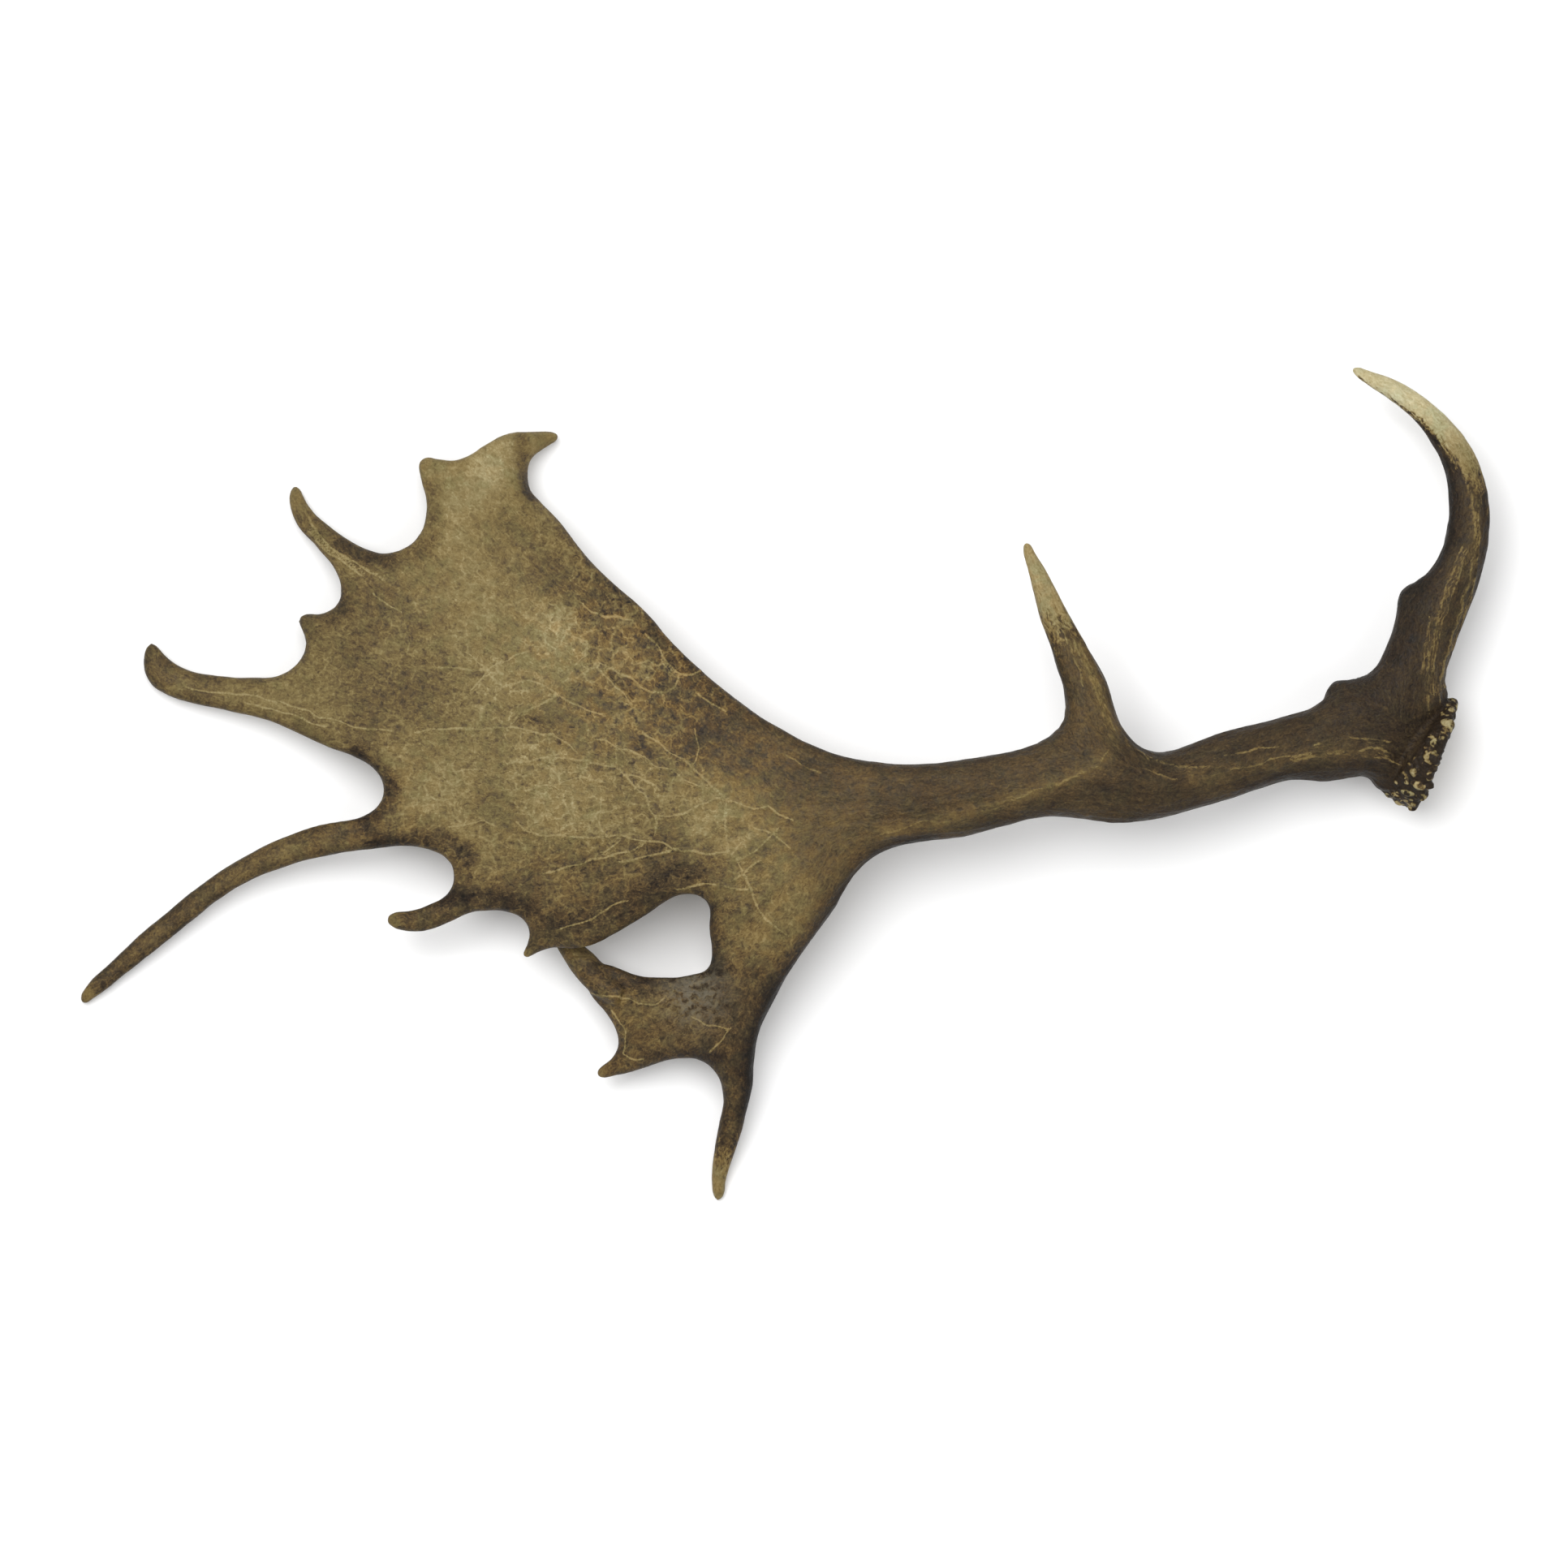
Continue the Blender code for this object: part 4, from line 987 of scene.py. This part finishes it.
def part_pieces(skin, values, flat, normals, forks, material):
    """Makes an object of each part of the skin between the forks, closed where it was cut."""
    mesh = skin.data
    points = read_points(mesh)
    corners = read_array(mesh.loops, "vertex_index", 1, np.int64)
    starts = read_array(mesh.polygons, "loop_start", 1, np.int64)
    totals = read_array(mesh.polygons, "loop_total", 1, np.int64)
    groups = face_groups(mesh, forks)
    names, sizes = np.unique(groups, return_counts=True)
    big = names[sizes > 200]
    loop_group = np.repeat(groups, totals)
    for name, anchor in PIECES.items():
        gaps = []
        for group in big:
            owned = np.unique(corners[loop_group == group])
            gaps.append(np.linalg.norm(points[owned] - anchor, axis=1).min())
        group = big[int(np.argmin(gaps))]
        owned = np.unique(corners[loop_group == group])
        place = np.full(len(points), -1)
        place[owned] = np.arange(len(owned))
        faces = [
            place[corners[starts[face]:starts[face] + totals[face]]].tolist()
            for face in np.flatnonzero(groups == group)
        ]
        made = bpy.data.meshes.new("antler_" + name)
        made.from_pydata(points[owned].tolist(), [], faces)
        work = bmesh.new()
        work.from_mesh(made)
        rims = [edge for edge in work.edges if edge.is_boundary]
        bmesh.ops.triangle_fill(work, use_beauty=True, use_dissolve=False, edges=rims)
        bmesh.ops.recalc_face_normals(work, faces=work.faces)
        work.to_mesh(made)
        work.free()
        made.shade_smooth()
        for field, numbers in values.items():
            layer = made.attributes.new(field, "FLOAT", "POINT")
            layer.data.foreach_set("value", numbers[owned].astype(np.float32))
        layer = made.attributes.new("flat", "FLOAT_VECTOR", "POINT")
        layer.data.foreach_set("vector", flat[owned].astype(np.float32).ravel())
        turned_to = normals[owned][read_array(made.loops, "vertex_index", 1, np.int64)]
        caps = read_array(made.polygons, "loop_start", 1, np.int64)[len(faces):]
        for number, cap in zip(range(len(faces), len(made.polygons)), caps):
            turned_to[cap:cap + 3] = made.polygons[number].normal
        made.normals_split_custom_set(turned_to.tolist())
        made.materials.append(material)
        piece = add_object("antler_" + name, made)
        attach(piece, "root")
        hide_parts(name)
        print(name, sum(len(polygon.vertices) - 2 for polygon in made.polygons), "triangles")
    bpy.data.objects.remove(skin)


def linear(colour):
    """A colour from 0 to 255 as the light that it stands for."""
    shares = (level / 255 for level in colour)
    return tuple(s / 12.92 if s < 0.04045 else ((s + 0.055) / 1.055) ** 2.4 for s in shares)


class Shader:
    """Short names for the nodes of one material."""

    def __init__(self, name):
        self.material = bpy.data.materials.new(name)
        self.material.use_nodes = True
        self.tree = self.material.node_tree
        self.bsdf = self.tree.nodes["Principled BSDF"]

    def put(self, socket, value):
        if isinstance(value, bpy.types.NodeSocket):
            self.tree.links.new(value, socket)
        elif isinstance(value, tuple) and socket.type == "RGBA":
            socket.default_value = (*value, 1)
        else:
            socket.default_value = value

    def value(self, name, output="Fac"):
        node = self.tree.nodes.new("ShaderNodeAttribute")
        node.attribute_name = name
        return node.outputs[output]

    def math(self, operation, *values):
        node = self.tree.nodes.new("ShaderNodeMath")
        node.operation = operation
        for socket, value in zip(node.inputs, values):
            self.put(socket, value)
        return node.outputs[0]

    def add(self, *values):
        total = values[0]
        for value in values[1:]:
            total = self.math("ADD", total, value)
        return total

    def times(self, *values):
        total = values[0]
        for value in values[1:]:
            total = self.math("MULTIPLY", total, value)
        return total

    def vector(self, operation, first, second):
        node = self.tree.nodes.new("ShaderNodeVectorMath")
        node.operation = operation
        self.put(node.inputs[0], first)
        self.put(node.inputs[3 if operation == "SCALE" else 1], second)
        return node.outputs[0]

    def span(self, value, low, high, out_low=0.0, out_high=1.0, kind="SMOOTHSTEP"):
        node = self.tree.nodes.new("ShaderNodeMapRange")
        node.interpolation_type = kind
        for name, setting in (
            ("Value", value), ("From Min", low), ("From Max", high), ("To Min", out_low), ("To Max", out_high),
        ):
            self.put(node.inputs[name], setting)
        return node.outputs["Result"]

    def blend(self, share, first, second):
        """A number between two others."""
        node = self.tree.nodes.new("ShaderNodeMix")
        node.data_type = "FLOAT"
        self.put(node.inputs[0], share)
        self.put(node.inputs[2], first)
        self.put(node.inputs[3], second)
        return node.outputs[0]

    def mix(self, share, first, second, kind="MIX"):
        node = self.tree.nodes.new("ShaderNodeMix")
        node.data_type = "RGBA"
        node.blend_type = kind
        self.put(node.inputs[0], share)
        self.put(node.inputs[6], first)
        self.put(node.inputs[7], second)
        return node.outputs[2]

    def noise(self, place, scale, detail=2.0, rough=0.5, output="Fac", distortion=0.0):
        node = self.tree.nodes.new("ShaderNodeTexNoise")
        self.put(node.inputs["Vector"], place)
        self.put(node.inputs["Scale"], scale)
        self.put(node.inputs["Detail"], detail)
        self.put(node.inputs["Roughness"], rough)
        self.put(node.inputs["Distortion"], distortion)
        return node.outputs[output]

    def cell_edge(self, place, scale):
        node = self.tree.nodes.new("ShaderNodeTexVoronoi")
        node.feature = "DISTANCE_TO_EDGE"
        self.put(node.inputs["Vector"], place)
        self.put(node.inputs["Scale"], scale)
        return node.outputs["Distance"]

    def ramp(self, value, stops):
        node = self.tree.nodes.new("ShaderNodeValToRGB")
        marks = node.color_ramp.elements
        marks[0].position, marks[-1].position = stops[0][0], stops[-1][0]
        for position, _ in stops[1:-1]:
            marks.new(position)
        for mark, (_, colour) in zip(marks, stops):
            mark.color = (*linear(colour), 1)
        self.put(node.inputs[0], value)
        return node.outputs[0]

    def bump(self, height, distance, strength, under=None):
        node = self.tree.nodes.new("ShaderNodeBump")
        self.put(node.inputs["Height"], height)
        node.inputs["Distance"].default_value = distance
        node.inputs["Strength"].default_value = strength
        if under is not None:
            self.put(node.inputs["Normal"], under)
        return node.outputs["Normal"]


class Grain:
    """Patterns that run along the bone's fibres, made in two sectors of directions and faded between them."""

    def __init__(self, shader):
        self.shader = shader
        self.flat = shader.value("flat", "Vector")
        ratio = shader.math("DIVIDE", shader.value("turn"), SECTOR)
        low = shader.math("FLOOR", ratio)
        self.share = shader.math("SUBTRACT", ratio, low)
        lower = shader.times(low, -SECTOR)
        wave = shader.noise(self.flat, 190.0, 2.0, 0.62, "Color")
        wave = shader.vector("SUBTRACT", wave, (0.5, 0.5, 0.5))
        self.wavy = shader.vector("ADD", self.flat, shader.vector("SCALE", wave, 0.0048))
        self.frames = [self.turned(self.wavy, a) for a in (lower, shader.add(lower, -SECTOR))]
        rest = shader.math("SUBTRACT", 1.0, self.share)
        spread = shader.add(shader.times(self.share, self.share), shader.times(rest, rest))
        self.boost = shader.math("DIVIDE", 5.0, shader.math("SQRT", spread))

    def turned(self, place, angle):
        node = self.shader.tree.nodes.new("ShaderNodeVectorRotate")
        node.rotation_type = "Z_AXIS"
        self.shader.put(node.inputs["Vector"], place)
        self.shader.put(node.inputs["Angle"], angle)
        return node.outputs[0]

    def streaks(self, across, along, detail=2.0, rough=0.55):
        """Values round 0, seldom beyond -1 and 1, that are longer along the fibres than across them."""
        shader = self.shader
        scales = (1 / along, 1 / across, 1 / across)
        first, second = (
            shader.noise(shader.vector("MULTIPLY", frame, scales), 1.0, detail, rough) for frame in self.frames
        )
        return shader.times(shader.math("SUBTRACT", shader.blend(self.share, first, second), 0.5), self.boost)

    def blots(self, place, size, detail=2.0, rough=0.55):
        """Values round 0, seldom beyond -1 and 1, that change over the given size in every direction."""
        shader = self.shader
        return shader.times(shader.math("SUBTRACT", shader.noise(place, 1 / size, detail, rough), 0.5), 5.0)


def antler_material():
    """Bone that is dark brown at the beam, olive on the palm, pale on its veins, stripes and worn tips, with
    painted shade along its outline and painted light and shade in its broad marks.
    """
    shader = Shader("antler_bone")
    grain = Grain(shader)
    place = grain.flat
    palm = shader.value("palm")
    net = shader.value("net")
    fine = grain.streaks(0.0008, 0.0030, 2.0, 0.60)
    long = grain.streaks(0.0013, 0.0140, 1.0, 0.55)
    lace = grain.streaks(0.0027, 0.0042, 1.0, 0.50)
    speck = grain.blots(place, 0.0010, 1.0, 0.60)
    mottle = grain.blots(grain.wavy, 0.0030, 3.0, 0.62)
    patch = grain.blots(place, 0.0160, 2.0, 0.55)
    tint = grain.blots(place, 0.0075, 2.0, 0.55)

    crease = shader.span(shader.math("ABSOLUTE", lace), 0.02, 0.24, 1.0, 0.0)
    crease = shader.times(crease, shader.span(shader.add(mottle, tint), -0.9, 0.5, 0.35, 1.0))
    loop = shader.span(shader.cell_edge(grain.wavy, 1 / 0.0060), 0.03, 0.13, 1.0, 0.0)
    loop = shader.times(loop, shader.span(shader.add(patch, shader.times(speck, 0.3)), -0.5, 0.4), palm)
    lines = shader.add(
        shader.times(crease, shader.add(0.02, shader.times(palm, 0.045), shader.times(net, 0.075))),
        shader.times(loop, shader.add(0.035, shader.times(net, 0.115))),
    )
    pits = shader.times(shader.span(mottle, -0.15, -1.0), shader.add(0.02, shader.times(net, 0.10)))

    tone = shader.add(
        shader.value("tone"), -0.015,
        shader.times(fine, shader.blend(palm, 0.050, 0.046)),
        shader.times(long, shader.blend(palm, 0.034, 0.026)),
        shader.times(speck, shader.blend(palm, 0.030, 0.040)),
        shader.times(mottle, shader.blend(palm, 0.036, 0.058)),
        shader.times(patch, shader.blend(palm, 0.026, 0.034)),
        lines, shader.times(pits, -1.0), shader.times(palm, -0.020), shader.times(net, -0.030),
    )
    # Painted shade: darker within 5 mm of the outline, where the bone rounds away from the light
    tone = shader.math("SUBTRACT", tone, shader.span(shader.value("edge"), 0.0, 5.0, 0.07, 0.0))

    vary = shader.add(1.0, shader.times(mottle, 0.45), shader.times(fine, 0.30))
    reach = shader.math("ABSOLUTE", shader.value("vein_side"))
    vein = shader.span(shader.math("DIVIDE", reach, vary), 0.45, 1.45, 1.0, 0.0)
    vein = shader.times(vein, shader.span(shader.value("vein"), 2.2, 3.4, 1.0, 0.0), shader.value("upper"))
    vein = shader.times(vein, shader.span(shader.add(tint, shader.times(speck, 0.5)), -1.0, 0.3, 0.45, 1.0))
    vein_tone = shader.add(0.62, shader.times(speck, 0.06), shader.times(mottle, 0.05))
    tone = shader.blend(shader.times(vein, 0.82), tone, vein_tone)

    reach = shader.math("ABSOLUTE", shader.value("stripe_side"))
    stripe = shader.span(shader.math("DIVIDE", reach, vary), 0.35, 1.5, 1.0, 0.0)
    stripe = shader.times(stripe, shader.span(shader.value("stripe"), 2.2, 3.4, 1.0, 0.0), shader.value("upper"))
    stripe = shader.times(stripe, shader.span(shader.add(long, tint), -0.8, 0.5, 0.10, 1.0))
    stripe_tone = shader.add(0.46, shader.times(fine, 0.09), shader.times(speck, 0.06))
    tone = shader.blend(shader.times(stripe, 0.82), tone, stripe_tone)

    pale = shader.add(
        shader.value("pale"), shader.times(long, 0.15), shader.times(fine, 0.12), shader.times(mottle, 0.14),
    )
    pale = shader.span(pale, 0.30, 0.74)
    pale_tone = shader.add(
        shader.value("pale_tone"), shader.times(long, 0.035), shader.times(fine, 0.055),
        shader.times(speck, 0.045), shader.times(mottle, 0.050),
    )
    tone = shader.blend(pale, tone, pale_tone)

    worn = shader.span(shader.add(shader.value("worn"), shader.times(speck, 0.12)), 0.12, 0.90)
    pearl_tone = shader.add(0.07, shader.times(worn, 0.62), shader.times(speck, 0.03), shader.times(mottle, 0.03))
    tone = shader.blend(shader.value("rim"), tone, pearl_tone)
    seal_tone = shader.add(0.44, shader.times(mottle, 0.10), shader.times(speck, 0.06))
    tone = shader.blend(shader.value("seal"), tone, seal_tone)

    colour = shader.ramp(tone, BONE_COLOURS)
    red = shader.times(shader.value("red"), shader.span(shader.add(tint, shader.times(mottle, 0.5)), -0.6, 0.8))
    colour = shader.mix(shader.times(red, 0.80), colour, (1.17, 0.96, 0.76), "MULTIPLY")
    cool = shader.span(shader.add(tint, shader.times(patch, 0.6)), -0.1, -1.0)
    colour = shader.mix(shader.times(cool, 0.55), colour, (0.92, 1.00, 0.98), "MULTIPLY")
    sheen = shader.times(shader.value("sheen"), shader.span(mottle, -0.8, 0.6), shader.value("upper"))
    colour = shader.mix(shader.times(sheen, 0.75), colour, linear((124, 119, 104)))
    shader.put(shader.bsdf.inputs["Base Color"], shader.mix(1.0, colour, (0.68, 0.68, 0.68), "MULTIPLY"))
    shader.put(shader.bsdf.inputs["Roughness"], shader.span(mottle, -1.0, 1.0, 0.50, 0.68))
    shader.bsdf.inputs["Specular IOR Level"].default_value = 0.15

    ridges = shader.add(
        shader.times(long, shader.blend(palm, 0.4, 0.12)), shader.times(fine, 0.25), shader.times(speck, 0.15),
        shader.times(lines, 2.2),
    )
    shader.put(shader.bsdf.inputs["Normal"], shader.bump(ridges, 0.00030, 0.75))
    return shader.material


def floor():
    mesh = bpy.data.meshes.new("floor")
    half = 6.0
    mesh.from_pydata([(-half, -half, 0), (half, -half, 0), (half, half, 0), (-half, half, 0)], [], [(0, 1, 2, 3)])
    plane = add_object("floor", mesh)
    shader = Shader("floor")
    shader.bsdf.inputs["Base Color"].default_value = (0.93, 0.93, 0.93, 1)
    shader.bsdf.inputs["Roughness"].default_value = 0.9
    shader.bsdf.inputs["Specular IOR Level"].default_value = 0.1
    mesh.materials.append(shader.material)


def area_light(name, place, target, size, power):
    data = bpy.data.lights.new(name, "AREA")
    data.shape = "DISK"
    data.size = size
    data.energy = power
    lamp = add_object(name, data)
    lamp.location = place
    lamp.rotation_euler = (Vector(target) - Vector(place)).to_track_quat("-Z", "Y").to_euler()


def studio():
    """Soft light from above and a little from the upper left of the picture, and even light from all round."""
    world = bpy.data.worlds.new("studio")
    world.use_nodes = True
    world.node_tree.nodes["Background"].inputs["Color"].default_value = (1, 1, 1, 1)
    world.node_tree.nodes["Background"].inputs["Strength"].default_value = 0.55
    bpy.context.scene.world = world
    area_light("key", (-0.6, 0.8, 3.3), (0, 0, 0), 2.2, 98)
    area_light("fill", (1.2, -0.6, 3.0), (0, 0, 0), 1.6, 15)
    bpy.context.scene.view_settings.view_transform = "Standard"


def camera():
    data = bpy.data.cameras.new("camera")
    data.lens = 258.8
    data.sensor_width = 36
    data.clip_end = 50
    made = add_object("camera", data)
    made.location = (0.0011, 0.0007, 5.0)
    bpy.context.scene.camera = made


def main():
    sheet = thin_plate(HEIGHTS)
    blade = swell(flat_outline(), sheet)
    whole = join([blade, spike(), *coronet()], "skin")
    skin = remesh(whole, SKIN_VOXEL)
    refine_coronet(skin.data)
    forks = score_forks(skin.data)
    values, flat, normals = raise_detail(skin.data, Flow(sheet), sheet)
    part_pieces(skin, values, flat, normals, forks, antler_material())
    floor()
    studio()
    camera()


main()
